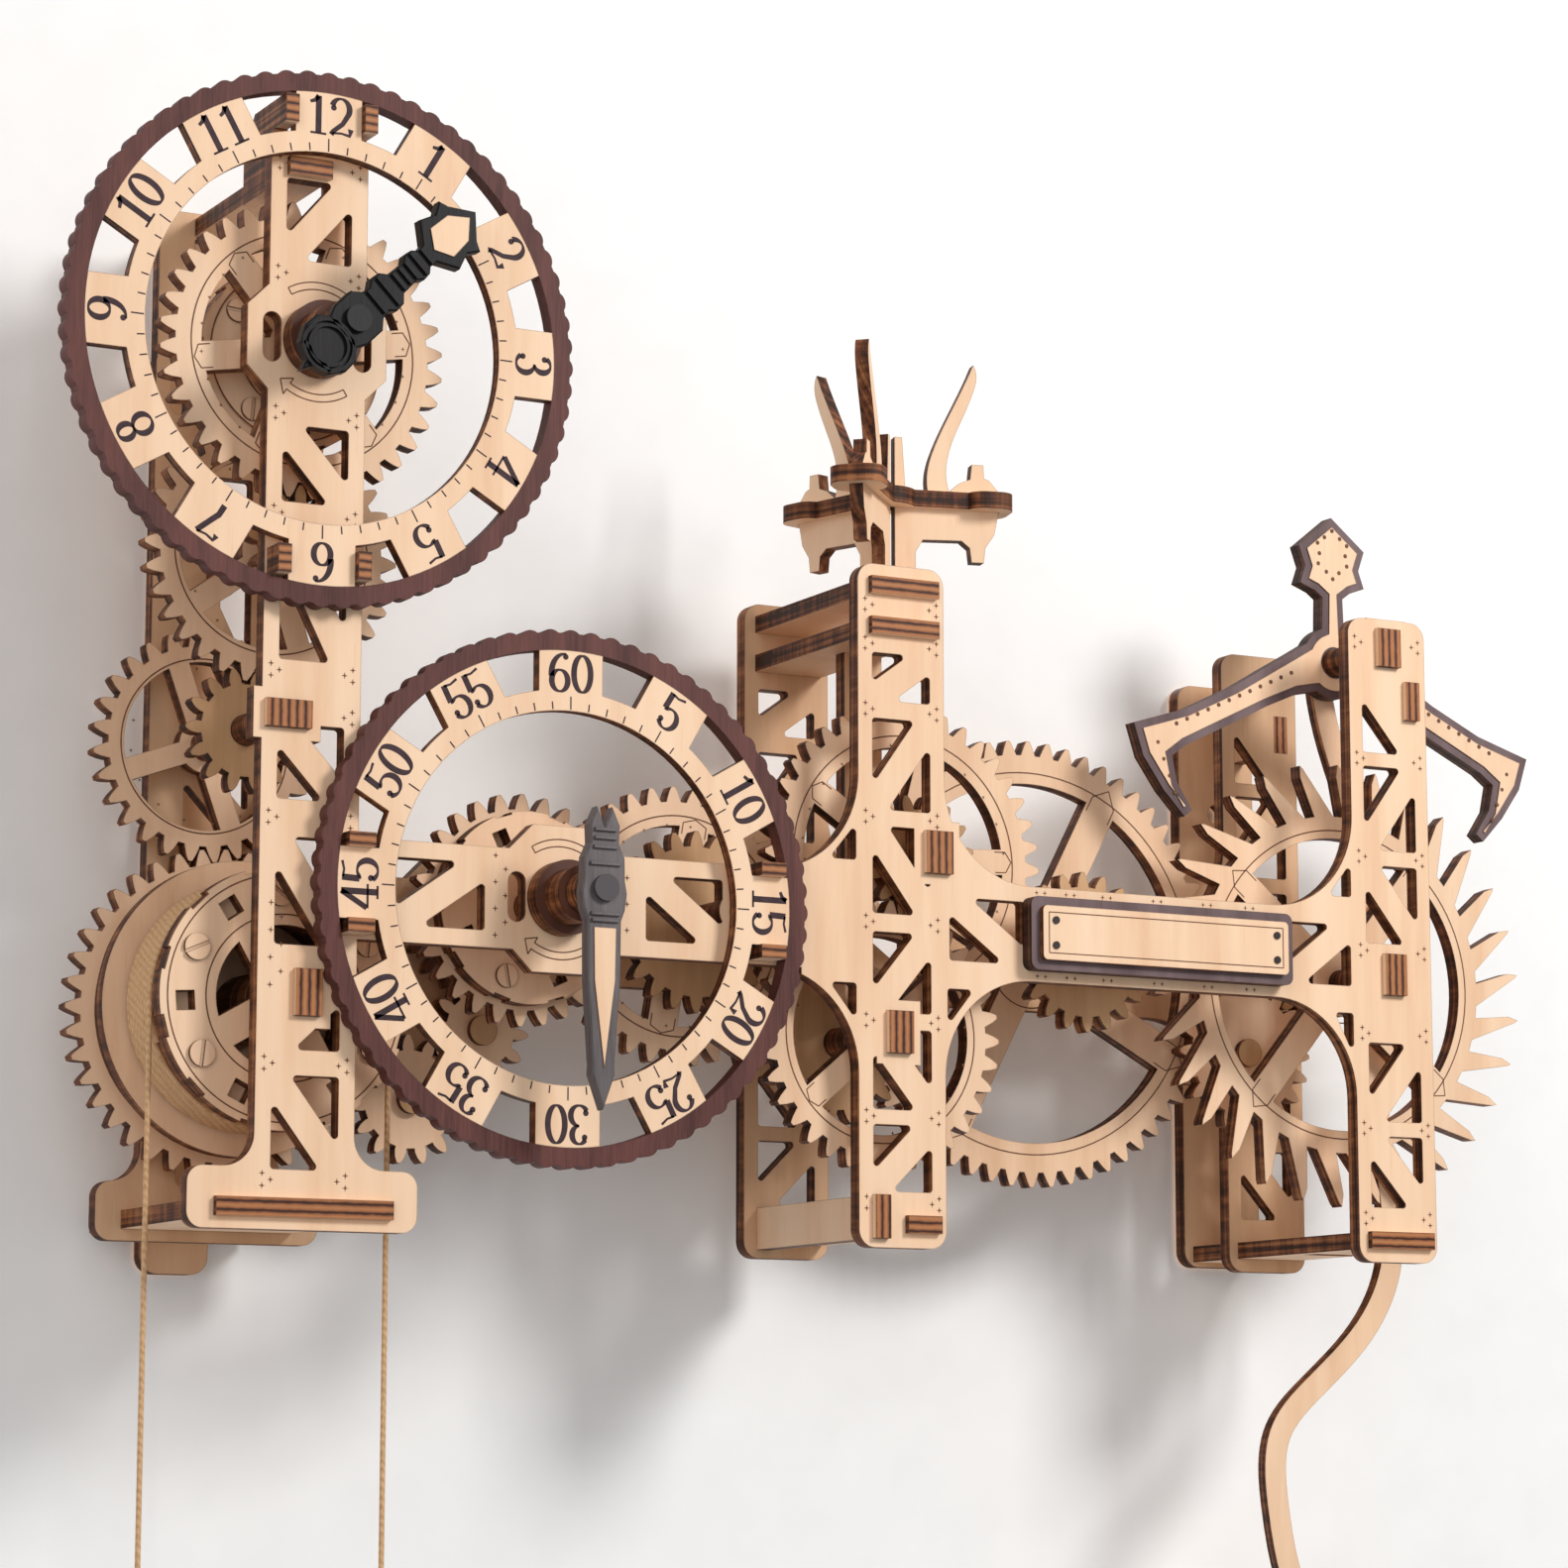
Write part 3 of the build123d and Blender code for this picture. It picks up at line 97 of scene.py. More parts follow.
class Shader:
    """A small helper that adds and links shader nodes."""

    def __init__(self, name):
        self.material = bpy.data.materials.new(name)
        self.material.use_nodes = True
        self.tree = self.material.node_tree
        self.bsdf = self.tree.nodes["Principled BSDF"]
        self.coords = self.add("ShaderNodeTexCoord").outputs["Object"]
        geometry = self.add("ShaderNodeNewGeometry")
        self.normal = geometry.outputs["True Normal"]

    def add(self, kind, **settings):
        node = self.tree.nodes.new(kind)
        for key, value in settings.items():
            setattr(node, key, value)
        return node

    def link(self, source, target):
        self.tree.links.new(source, target)

    def math(self, operation, *values):
        node = self.add("ShaderNodeMath", operation=operation)
        for socket, value in zip(node.inputs, values):
            if isinstance(value, (int, float)):
                socket.default_value = value
            else:
                self.link(value, socket)
        return node.outputs[0]

    def scaled(self, scale, turn=0.0):
        node = self.add("ShaderNodeMapping")
        node.inputs["Scale"].default_value = scale
        node.inputs["Rotation"].default_value = (0, turn, 0)
        self.link(self.coords, node.inputs["Vector"])
        return node.outputs[0]

    def noise(self, scale, detail=4.0, roughness=0.55, turn=0.0):
        node = self.add("ShaderNodeTexNoise")
        node.inputs["Scale"].default_value = 1.0
        node.inputs["Detail"].default_value = detail
        node.inputs["Roughness"].default_value = roughness
        self.link(self.scaled(scale, turn), node.inputs["Vector"])
        return node.outputs["Fac"]

    def ramp(self, factor, *stops):
        node = self.add("ShaderNodeValToRGB")
        elements = node.color_ramp.elements
        while len(elements) < len(stops):
            elements.new(0.5)
        for element, (position, colour) in zip(elements, stops):
            element.position = position
            element.color = (*colour, 1)
        self.link(factor, node.inputs[0])
        return node.outputs[0]

    def mix(self, factor, a, b, blend="MIX"):
        node = self.add("ShaderNodeMix", data_type="RGBA", blend_type=blend)
        for socket, value in zip((node.inputs[0], node.inputs[6], node.inputs[7]), (factor, a, b)):
            if isinstance(value, (int, float)):
                socket.default_value = value
            elif isinstance(value, tuple):
                socket.default_value = (*value, 1)
            else:
                self.link(value, socket)
        return node.outputs[2]

    def weighted(self, a, share, b):
        """`share` of the value a, and the rest of b."""
        return self.math("ADD", self.math("MULTIPLY", a, share), self.math("MULTIPLY", b, 1 - share))

    def part(self, vector, axis):
        """One part of a vector: 0 across, 1 from front to back, 2 up."""
        split = self.add("ShaderNodeSeparateXYZ")
        self.link(vector, split.inputs[0])
        return split.outputs[axis]

    def facing(self, axis):
        """1 where the surface faces either way along an axis, 0 elsewhere."""
        return self.math("GREATER_THAN", self.math("ABSOLUTE", self.part(self.normal, axis)), FACING)

    def corner(self, radius):
        """About 1 within `radius` metres of a sharp edge, 0 elsewhere."""
        bevel = self.add("ShaderNodeBevel", samples=4)
        bevel.inputs["Radius"].default_value = radius
        dot = self.add("ShaderNodeVectorMath", operation="DOT_PRODUCT")
        self.link(bevel.outputs[0], dot.inputs[0])
        self.link(self.normal, dot.inputs[1])
        rounding = self.math("SUBTRACT", 1.0, dot.outputs["Value"])
        return self.math("MINIMUM", self.math("MULTIPLY", rounding, EDGE_GAIN), 1.0)

    def bump(self, height, strength):
        node = self.add("ShaderNodeBump")
        node.inputs["Strength"].default_value = strength
        node.inputs["Distance"].default_value = BUMP_M
        self.link(height, node.inputs["Height"])
        self.link(node.outputs[0], self.bsdf.inputs["Normal"])

    def clear_from_behind(self):
        """Only the camera's rays pass, and only from the back, so that the clock's rear can be seen."""
        geometry = self.add("ShaderNodeNewGeometry")
        rays = self.add("ShaderNodeLightPath")
        shader = self.add("ShaderNodeMixShader")
        hidden = self.math("MULTIPLY", geometry.outputs["Backfacing"], rays.outputs["Is Camera Ray"])
        self.link(hidden, shader.inputs[0])
        self.link(self.bsdf.outputs[0], shader.inputs[1])
        self.link(self.add("ShaderNodeBsdfTransparent").outputs[0], shader.inputs[2])
        self.link(shader.outputs[0], self.tree.nodes["Material Output"].inputs["Surface"])

    def finish(self, colour, roughness, specular=0.3):
        self.bsdf.inputs["Specular IOR Level"].default_value = specular
        self.link(colour, self.bsdf.inputs["Base Color"])
        if isinstance(roughness, float):
            self.bsdf.inputs["Roughness"].default_value = roughness
        else:
            self.link(roughness, self.bsdf.inputs["Roughness"])
        return self.material


BIRCH = ((0.86, 0.60, 0.405), (0.78, 0.50, 0.315), (0.90, 0.66, 0.465))
BURNT = ((0.028, 0.008, 0.003), (0.140, 0.042, 0.014), (0.36, 0.140, 0.052))
BURNT_DARK = ((0.016, 0.006, 0.004), (0.062, 0.022, 0.013), (0.16, 0.065, 0.036))
END_GRAIN = ((0.045, 0.013, 0.006), (0.24, 0.080, 0.028), (0.43, 0.175, 0.068))
SOOT = (0.11, 0.045, 0.025)
SHEET_SCORCH = 0.00035   # how far soot reaches in from a cut sheet's edge
BOARD_SCORCH = 0.0004    # the same for thick boards and stained sheets


def birch_face(shader, tones, grain_turn, seed):
    """Pale birch veneer: long soft grain, fine pores and a few darker flecks."""
    offset = seed * 0.37
    long_grain = shader.noise((95 + offset, 70, 9 + offset), 5.0, 0.6, grain_turn)
    pores = shader.noise((1500, 900, 60), 3.0, 0.7, grain_turn)
    colour = shader.ramp(long_grain, (0.30, tones[1]), (0.52, tones[0]), (0.74, tones[2]))
    flecks = shader.math("LESS_THAN", pores, 0.34)
    return shader.mix(shader.math("MULTIPLY", flecks, 0.16), colour, tones[1], "MULTIPLY"), pores


def burnt_edge(shader, tones, across=1):
    """A laser-cut edge: plies as fine bands across the sheet's thickness, which lies along the axis
    `across`, with scorched streaks."""
    plies = shader.noise(tuple(950 if axis == across else 16 for axis in range(3)), 2.0, 0.5)
    streaks = shader.noise(tuple(60 if axis == across else 460 for axis in range(3)), 3.0, 0.6)
    both = shader.weighted(plies, 0.62, streaks)
    return shader.ramp(both, (0.42, tones[0]), (0.52, tones[1]), (0.64, tones[2])), streaks


def plywood(name, tones=BIRCH, edge=BURNT, face_axis=1, grain_turn=0.0, seed=0, soot=0.75):
    """Plywood whose faces look along `face_axis`; every other side is a burnt cut edge."""
    shader = Shader(name)
    face, pores = birch_face(shader, tones, grain_turn, seed)
    side, streaks = burnt_edge(shader, edge, face_axis)
    mask = shader.facing(face_axis)
    scorch = shader.math("MULTIPLY", shader.corner(SHEET_SCORCH), soot)
    face = shader.mix(scorch, face, SOOT)
    colour = shader.mix(mask, side, face)
    height = shader.mix(mask, streaks, pores)
    shader.bump(height, 0.22)
    return shader.finish(colour, 0.62)


PLY_PITCH = 0.0019
WAVE_PERIOD = 0.314      # a wave texture of scale 1 repeats after this length


def banded_ends(shader, axis):
    """Glued plies seen end-on, as bands across `axis`."""
    wave = shader.add("ShaderNodeTexWave", bands_direction="XYZ"[axis])
    wave.inputs["Scale"].default_value = WAVE_PERIOD / PLY_PITCH
    wave.inputs["Distortion"].default_value = 0.6
    wave.inputs["Detail"].default_value = 2.0
    wave.inputs["Detail Scale"].default_value = 3.0
    shader.link(shader.coords, wave.inputs["Vector"])
    fine = shader.noise((300, 300, 300), 3.0)
    both = shader.weighted(wave.outputs["Fac"], 0.7, fine)
    return shader.ramp(both, (0.20, END_GRAIN[0]), (0.34, END_GRAIN[1]), (0.85, END_GRAIN[2]))


def tabbed(name, axis, upright=None):
    """A board or block whose front end shows its plies across `axis`, and whose long sides are burnt.
    `upright` gives the part of the frame, as ((axis, limit, above), ...) tests, where the board stands
    on edge and the plies turn."""
    shader = Shader(name)
    face, pores = birch_face(shader, BIRCH, 0.4, 3)
    bands = banded_ends(shader, axis)
    is_side = shader.facing(2 - axis)
    side = burnt_edge(shader, BURNT, axis)[0]
    if upright:
        here = 0.0
        for tests in upright:
            inside = 1.0
            for coordinate, limit, above in tests:
                operation = "GREATER_THAN" if above else "LESS_THAN"
                test = shader.math(operation, shader.part(shader.coords, coordinate), limit)
                inside = shader.math("MULTIPLY", inside, test)
            here = shader.math("MAXIMUM", here, inside)
        bands = shader.mix(here, bands, banded_ends(shader, 0))
        is_side = shader.mix(here, is_side, shader.facing(2))
        side = shader.mix(here, side, burnt_edge(shader, BURNT, 0)[0])
    scorch = shader.math("MULTIPLY", shader.corner(BOARD_SCORCH), 0.8)
    board = shader.mix(is_side, face, side)
    colour = shader.mix(scorch, shader.mix(shader.facing(1), board, bands), SOOT)
    shader.bump(pores, 0.2)
    return shader.finish(colour, 0.58)


def stained(name, dark, light, roughness=0.5, specular=0.3):
    """Stained plywood: the grain shows through the colour."""
    shader = Shader(name)
    grain = shader.noise((130, 130, 12), 5.0, 0.65)
    pores = shader.noise((1400, 1400, 90), 3.0, 0.7)
    both = shader.weighted(grain, 0.6, pores)
    colour = shader.ramp(both, (0.34, dark), (0.66, light))
    worn = shader.math("MULTIPLY", shader.corner(BOARD_SCORCH), 0.5)
    colour = shader.mix(worn, colour, tuple(0.45 * c for c in dark))
    shader.bump(pores, 0.25)
    return shader.finish(colour, roughness, specular)


def ink(name, colour, roughness=0.7):
    """Laser engraving or print: nearly one tone, with a little unevenness."""
    shader = Shader(name)
    mottle = shader.noise((700, 700, 700), 3.0)
    tone = shader.ramp(mottle, (0.3, tuple(0.7 * c for c in colour)), (0.7, tuple(1.25 * c for c in colour)))
    return shader.finish(tone, roughness)


def twisted_cord(name):
    """Thin natural cord: faint slanting strands and loose fibres."""
    shader = Shader(name)
    wave = shader.add("ShaderNodeTexWave", bands_direction="DIAGONAL")
    wave.inputs["Scale"].default_value = 330.0
    wave.inputs["Distortion"].default_value = 2.0
    shader.link(shader.coords, wave.inputs["Vector"])
    fibre = shader.noise((2600, 2600, 900), 4.0, 0.7)
    both = shader.weighted(wave.outputs["Fac"], 0.2, fibre)
    colour = shader.ramp(both, (0.20, (0.42, 0.22, 0.10)), (0.50, (0.62, 0.38, 0.20)),
                         (0.80, (0.78, 0.54, 0.32)))
    shader.bump(both, 0.3)
    return shader.finish(colour, 0.85)


def capped_hub(name, start, cap):
    """Dark stacked washers. Beyond `start` metres from the wall, the cap has the hand's stain."""
    shader = Shader(name)
    face, pores = birch_face(shader, ((0.10, 0.035, 0.02), (0.06, 0.02, 0.012), (0.16, 0.06, 0.035)), 0.0, 9)
    side, streaks = burnt_edge(shader, BURNT)
    colour = shader.mix(shader.facing(1), side, face)
    in_front = shader.math("LESS_THAN", shader.part(shader.coords, 1), -start)
    shader.bump(shader.math("ADD", pores, streaks), 0.2)
    return shader.finish(shader.mix(in_front, colour, cap), 0.55)


def blade_material(name, directions):
    """The finial's upright blades: pale where they look across their own direction."""
    shader = Shader(name)
    face, pores = birch_face(shader, BIRCH, 0.0, 6)
    side, streaks = burnt_edge(shader, BURNT)
    mask = 0.0
    for degrees in directions:
        a = math.radians(degrees + 90)
        dot = shader.add("ShaderNodeVectorMath", operation="DOT_PRODUCT")
        shader.link(shader.normal, dot.inputs[0])
        dot.inputs[1].default_value = (math.cos(a), math.sin(a), 0)
        along = shader.math("GREATER_THAN", shader.math("ABSOLUTE", dot.outputs["Value"]), 0.985)
        mask = shader.math("MAXIMUM", mask, along)
    face = shader.mix(shader.math("MULTIPLY", shader.corner(SHEET_SCORCH), 0.8), face, SOOT)
    shader.bump(pores, 0.2)
    return shader.finish(shader.mix(mask, side, face), 0.6)


FRONT_PLY = plywood("front_sheets", seed=0)
# Darker birch tones for the rear plates, wall plates and mid plate: painted shade, for the shadow these
# deeper sheets lie in behind the front plates and wheels.
SHADED_REAR_PLY = plywood("rear_sheets_painted_shade", tones=((0.68, 0.43, 0.26), (0.57, 0.34, 0.19), (0.73, 0.49, 0.30)), seed=5)
WHEEL_PLY = plywood("wheel_sheets", grain_turn=0.5, seed=2)
WHEEL_PLY_2 = plywood("crossed_wheel_sheets", grain_turn=1.9, seed=7,
                      tones=((0.83, 0.565, 0.375), (0.73, 0.46, 0.285), (0.87, 0.62, 0.43)))
DIAL_PLY = plywood("dial_sheets", grain_turn=0.9, seed=4, soot=0.9)
TURNED_PLY = plywood("stacked_arbors", soot=0.8,
                     tones=((0.56, 0.34, 0.18), (0.44, 0.25, 0.12), (0.64, 0.41, 0.23)))
COLLAR_PLY = plywood("finial_collar_sheet", face_axis=2, seed=8)
FINIAL_DEGS = (-134.0, -14.0, 106.0)
BLADE_PLY = blade_material("finial_sheets", FINIAL_DEGS)
HAND_BACK = 0.0975       # the hubs' washers end here, behind the hands
HOUR_HUB = capped_hub("hour_hand_hub", HAND_BACK, (0.008, 0.007, 0.009))
MINUTE_HUB = capped_hub("minute_hand_hub", HAND_BACK, (0.075, 0.065, 0.072))
BOARDS_LEFT = tabbed("left_tower_boards", 2)
BOARDS_RIGHT = tabbed("right_tower_boards", 2, upright=[[(0, 0.1412, False), (2, 0.013, False)],
                                                       [(0, 0.2855, True), (2, 0.131, True)]])
BLOCKS = tabbed("bearing_block_ends", 0)
RIM_STAIN = stained("dial_rim_stain", (0.050, 0.014, 0.012), (0.15, 0.048, 0.040), roughness=0.6)
BLACK_STAIN = stained("hour_hand_black", (0.003, 0.003, 0.004), (0.012, 0.010, 0.012), specular=0.18)
GREY_STAIN = stained("minute_hand_grey", (0.080, 0.068, 0.070), (0.18, 0.155, 0.160))
MAUVE_STAIN = plywood("mauve_board", edge=BURNT_DARK, seed=3, soot=0.4,
                      tones=((0.15, 0.100, 0.105), (0.095, 0.058, 0.062), (0.21, 0.145, 0.150)))
INK = ink("numeral_ink", (0.045, 0.024, 0.03))
ENGRAVED = ink("engraved_line", (0.17, 0.075, 0.04))
CORD = twisted_cord("cord_fibre")
RIVET = ink("rivet_dark", (0.03, 0.02, 0.02), 0.4)


NODE_MATERIALS = {
    FRONT_PLY: ["front_plate_left", "front_plate_right", "splice_plates", "name_plate", "pendulum_rod",
                "pendulum_bob"],
    SHADED_REAR_PLY: ["rear_plate_left", "rear_plate_right", "wall_plates", "mid_plate"],
    WHEEL_PLY: ["great_wheel", "motion_wheel", "hour_wheel", "arm_wheel", "upper_wheel", "fourth_wheel",
                "escape_wheel", "upper_idler", "drum_front_cheek", "ratchet_wheel", "hour_clutch"],
    WHEEL_PLY_2: ["idler_wheel", "lower_idler", "minute_wheel", "lower_wheel", "bridge_wheel",
                  "fourth_pinion", "drum_core", "drum_screws", "ratchet_clicks", "minute_clutch",
                  "cord_ends"],
    DIAL_PLY: ["hour_dial_face", "minute_dial_face"],
    TURNED_PLY: ["great_arbor", "idler_arbor", "motion_arbor", "arm_arbor", "lower_arbor", "upper_arbor",
                 "bridge_arbor", "escape_arbor", "anchor_arbor", "gear_pins"],
    HOUR_HUB: ["hour_arbor"],
    MINUTE_HUB: ["minute_arbor"],
    BOARDS_LEFT: ["left_spacer_boards", "dial_brackets"],
    BOARDS_RIGHT: ["right_spacer_boards"],
    BLOCKS: ["bearing_blocks"],
    RIM_STAIN: ["hour_dial_rim", "minute_dial_rim"],
    BLACK_STAIN: ["hour_hand"],
    GREY_STAIN: ["minute_hand"],
    MAUVE_STAIN: ["name_board", "anchor"],
    CORD: ["weight_cord", "winding_cord"],
    BLADE_PLY: ["finial_blades"],
    COLLAR_PLY: ["finial_collar"],
}
for material, names in NODE_MATERIALS.items():
    for name in names:
        data = nodes[name].data
        data.materials.clear()
        data.materials.append(material)


# ------------------------------------------------------------------ thin raised or engraved shapes
LINE_T = 0.05            # how far a line of ink or a burnt line stands out of its sheet
SUNK = 0.05              # how far its back lies inside the sheet
WELD = 1e-7              # corners closer than this, in metres, become one


class Relief:
    """Collects closed prisms and rings that lie on one face, then makes them one piece."""

    def __init__(self, name, body, material, depth, slot="birch_ply", rise=LINE_T):
        self.name, self.body, self.material, self.slot = name, body, material, slot
        self.low, self.high = depth - SUNK, depth + rise
        self.bm = bmesh.new()

    def vertex(self, point, depth):
        return self.bm.verts.new(at(point[0], depth, point[1]))

    def prism(self, points):
        """A closed prism over a polygon of (across, up) points."""
        area = sum(a[0] * b[1] - b[0] * a[1] for a, b in zip(points, points[1:] + points[:1]))
        if area < 0:
            points = points[::-1]
        top = [self.vertex(point, self.high) for point in points]
        back = [self.vertex(point, self.low) for point in points]
        self.bm.faces.new(top)
        self.bm.faces.new(back[::-1])
        for i in range(len(points)):
            j = (i + 1) % len(points)
            self.bm.faces.new((top[j], top[i], back[i], back[j]))

    def ring(self, centre, inner, outer, start=0.0, sweep=360.0, steps=96):
        """A ring, or a part of one, between two radii."""
        closed = sweep >= 360.0
        count = steps if closed else steps + 1
        angles = [start + sweep * i / steps for i in range(count)]
        corners = ((inner, self.high), (outer, self.high), (outer, self.low), (inner, self.low))
        self.strip([[self.vertex(polar(centre, a, r), d) for a in angles] for r, d in corners], closed)

    def strip(self, loops, closed):
        """Joins four rows of corners, two in front and two behind, as one closed solid."""
        count = len(loops[0])
        for i in range(count if closed else count - 1):
            j = (i + 1) % count
            for k in range(4):
                a, b = loops[k], loops[(k + 1) % 4]
                self.bm.faces.new((a[i], a[j], b[j], b[i]))
        if not closed:
            self.bm.faces.new([loop[0] for loop in loops])
            self.bm.faces.new([loop[-1] for loop in loops][::-1])

    def disc(self, centre, radius, steps=20):
        self.prism([polar(centre, 360 * i / steps, radius) for i in range(steps)])

    def cross(self, centre, size, turn=0.0):
        """A small four-pointed burn mark."""
        self.prism([polar(centre, turn + 45 * i, size if i % 2 == 0 else size * 0.3) for i in range(8)])

    def bar(self, a, b, width):
        """A straight bar between two points."""
        dx, dz = b[0] - a[0], b[1] - a[1]
        length = math.hypot(dx, dz)
        ox, oz = -dz / length * width / 2, dx / length * width / 2
        self.prism([(a[0] - ox, a[1] - oz), (b[0] - ox, b[1] - oz),
                    (b[0] + ox, b[1] + oz), (a[0] + ox, a[1] + oz)])

    def ribbon(self, centreline, halves):
        """A curved stroke from its centreline and its half width at each point. One whose centreline
        ends where it began is closed into a loop."""
        closed = math.dist(centreline[0], centreline[-1]) < 1e-4
        if closed:
            centreline = centreline[:-1]
        last = len(centreline) - 1
        loops = [[], [], [], []]
        for i, (x, z) in enumerate(centreline):
            before, after = (i - 1, (i + 1) % (last + 1)) if closed else (max(0, i - 1), min(last, i + 1))
            a, b = centreline[before], centreline[after]
            dx, dz = b[0] - a[0], b[1] - a[1]
            length = math.hypot(dx, dz) or 1.0
            nx, nz = -dz / length * halves[i], dx / length * halves[i]
            corners = ((1, self.high), (-1, self.high), (-1, self.low), (1, self.low))
            for loop, (sign, depth) in zip(loops, corners):
                loop.append(self.vertex((x + sign * nx, z + sign * nz), depth))
        self.strip(loops, closed)

    def make(self):
        bmesh.ops.remove_doubles(self.bm, verts=self.bm.verts, dist=WELD)
        bmesh.ops.recalc_face_normals(self.bm, faces=self.bm.faces)
        mesh = bpy.data.meshes.new(self.name)
        self.bm.to_mesh(mesh)
        self.bm.free()
        mesh.materials.append(self.material)
        piece = new_piece(self.name, mesh)
        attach(piece, self.body)


# ------------------------------------------------------------------ numerals
def arc(cx, cy, rx, ry, start, end, steps=22):
    return [(cx + rx * math.cos(math.radians(start + (end - start) * i / steps)),
             cy + ry * math.sin(math.radians(start + (end - start) * i / steps))) for i in range(steps + 1)]


BALL = 0.075             # radius of a terminal ball, in heights of a numeral
ADVANCE = 0.62           # from one digit to the next, in the same unit
# Each numeral is drawn in a box one unit high: strokes, then terminal balls
STROKES = {
    "0": ([arc(0, 0.5, 0.23, 0.46, 0, 360, 40)], []),
    "1": ([[(0.03, 0.03), (0.03, 0.97)], [(-0.19, 0.80), (-0.06, 0.85), (0.03, 0.97)],
           [(-0.18, 0.02), (0.24, 0.02)]], []),
    "2": ([arc(0.0, 0.71, 0.23, 0.26, 165, -30) + [(0.05, 0.33), (-0.20, 0.12), (-0.25, 0.03)],
           [(-0.24, 0.07), (0.02, 0.09), (0.24, 0.05), (0.27, 0.22)]], [(-0.19, 0.72)]),
    "3": ([arc(0.0, 0.745, 0.19, 0.22, 150, -90), arc(0.0, 0.27, 0.23, 0.25, 90, -150)],
          [(-0.15, 0.80), (-0.18, 0.20)]),
    "4": ([[(0.10, 0.97), (-0.29, 0.30)], [(-0.30, 0.28), (0.29, 0.28)], [(0.10, 0.03), (0.10, 0.97)],
           [(-0.06, 0.02), (0.26, 0.02)]], []),
    "5": ([[(-0.19, 0.93), (0.0, 0.90), (0.21, 0.95)], [(-0.19, 0.95), (-0.21, 0.50)],
           [(-0.21, 0.50)] + arc(0.0, 0.29, 0.24, 0.27, 135, -150)], [(-0.18, 0.20)]),
    "6": ([arc(0.0, 0.29, 0.22, 0.27, 0, 360, 36), arc(0.14, 0.46, 0.37, 0.51, 85, 188)], [(0.16, 0.90)]),
    "7": ([[(-0.24, 0.78), (-0.22, 0.93), (0.0, 0.90), (0.25, 0.95)],
           [(0.25, 0.95), (0.08, 0.55), (-0.03, 0.30), (-0.04, 0.03)]], []),
    "8": ([arc(0.0, 0.745, 0.18, 0.215, 0, 360, 32), arc(0.0, 0.27, 0.23, 0.25, 0, 360, 36)], []),
}
STROKES["9"] = ([[(-x, 1 - y) for x, y in stroke] for stroke in STROKES["6"][0]],
                [(-x, 1 - y) for x, y in STROKES["6"][1]])
THIN, THICK = 0.055, 0.155


def pen(stroke):
    """Half widths of a broad-nib stroke: thick where it runs up or down, thin where it runs across."""
    widths = []
    for i in range(len(stroke)):
        a, b = stroke[max(0, i - 1)], stroke[min(len(stroke) - 1, i + 1)]
        dx, dz = b[0] - a[0], b[1] - a[1]
        steep = abs(dz) / (math.hypot(dx, dz) or 1.0)
        widths.append((THIN + (THICK - THIN) * steep ** 1.5) / 2)
    return widths


def numeral(relief, text, centre, clock_degrees, radius, height):
    """Digits whose tops point away from the dial's centre."""
    def put(x, y):
        return turned(centre, -clock_degrees, x * height, radius + (y - 0.5) * height)

    for i, digit in enumerate(text):
        shift = (i - (len(text) - 1) / 2) * ADVANCE
        strokes, balls = STROKES[digit]
        for stroke in strokes:
            moved = [put(x + shift, y) for x, y in stroke]
            relief.ribbon(moved, [w * height for w in pen(stroke)])
        for x, y in balls:
            relief.disc(put(x + shift, y), BALL * height, 14)


NUMERAL_R = 49.4
NUMERAL_H = 8.8
TICK_START, TICK_END, LONG_TICK_END = 41.3, 43.0, 44.2
TICK_W = 0.3


def dial_print(name, body, labels):
    """Numerals and minute ticks on a dial's face."""
    centre = pivot(body)
    relief = Relief(name, "frame", INK, front(name.replace("_print", "_face")))
    for k, text in enumerate(labels):
        numeral(relief, text, centre, 30 * k, NUMERAL_R, NUMERAL_H)
    for k in range(60):
        end = LONG_TICK_END if k % 5 == 0 else TICK_END
        relief.bar(polar(centre, 6 * k, TICK_START), polar(centre, 6 * k, end), TICK_W)
    relief.make()


dial_print("hour_dial_print", "hour", ["12"] + [str(k) for k in range(1, 12)])
dial_print("minute_dial_print", "minute", ["60"] + [str(5 * k) for k in range(1, 12)])


# ------------------------------------------------------------------ engraving on wheels
SCRIBED_W = 0.32
MARK_W = 0.26


def scribed(node, body, radii):
    """Engraved circles on a wheel, at each of the radii."""
    relief = Relief(f"{node}_scribing", body, ENGRAVED, front(node))
    for radius in radii:
        relief.ring(pivot(body), radius - SCRIBED_W / 2, radius + SCRIBED_W / 2)
    return relief


def crosses_round(relief, centre, radius, count, start, size):
    """Burn marks at even steps round a circle."""
    for k in range(count):
        bearing = start + 360 * k / count
        relief.cross(polar(centre, bearing, radius), size, bearing)


for node, body, radii in (("great_wheel", "great", (29.6, 10.6)), ("hour_wheel", "hour", (25.9,)),
                          ("motion_wheel", "motion", (22.6,)), ("idler_wheel", "idler", (19.6,)),
                          ("minute_wheel", "minute", (20.2,)), ("arm_wheel", "arm", (25.4,)),
                          ("lower_wheel", "lower", (24.6,)), ("upper_wheel", "upper", (29.2,))):
    relief = scribed(node, body, radii)
    crosses_round(relief, pivot(body), radii[0] - 2.2, 24 if radii[0] > 25 else 16, 7.5, 0.5)
    relief.make()
scribed("bridge_wheel", "bridge", (46.2, 11.0)).make()
scribed("escape_wheel", "escape", (38.0, 9.6)).make()
scribed("drum_front_cheek", "drum", (26.6, 18.0)).make()
scribed("hour_clutch", "hour", (19.0, 12.0)).make()


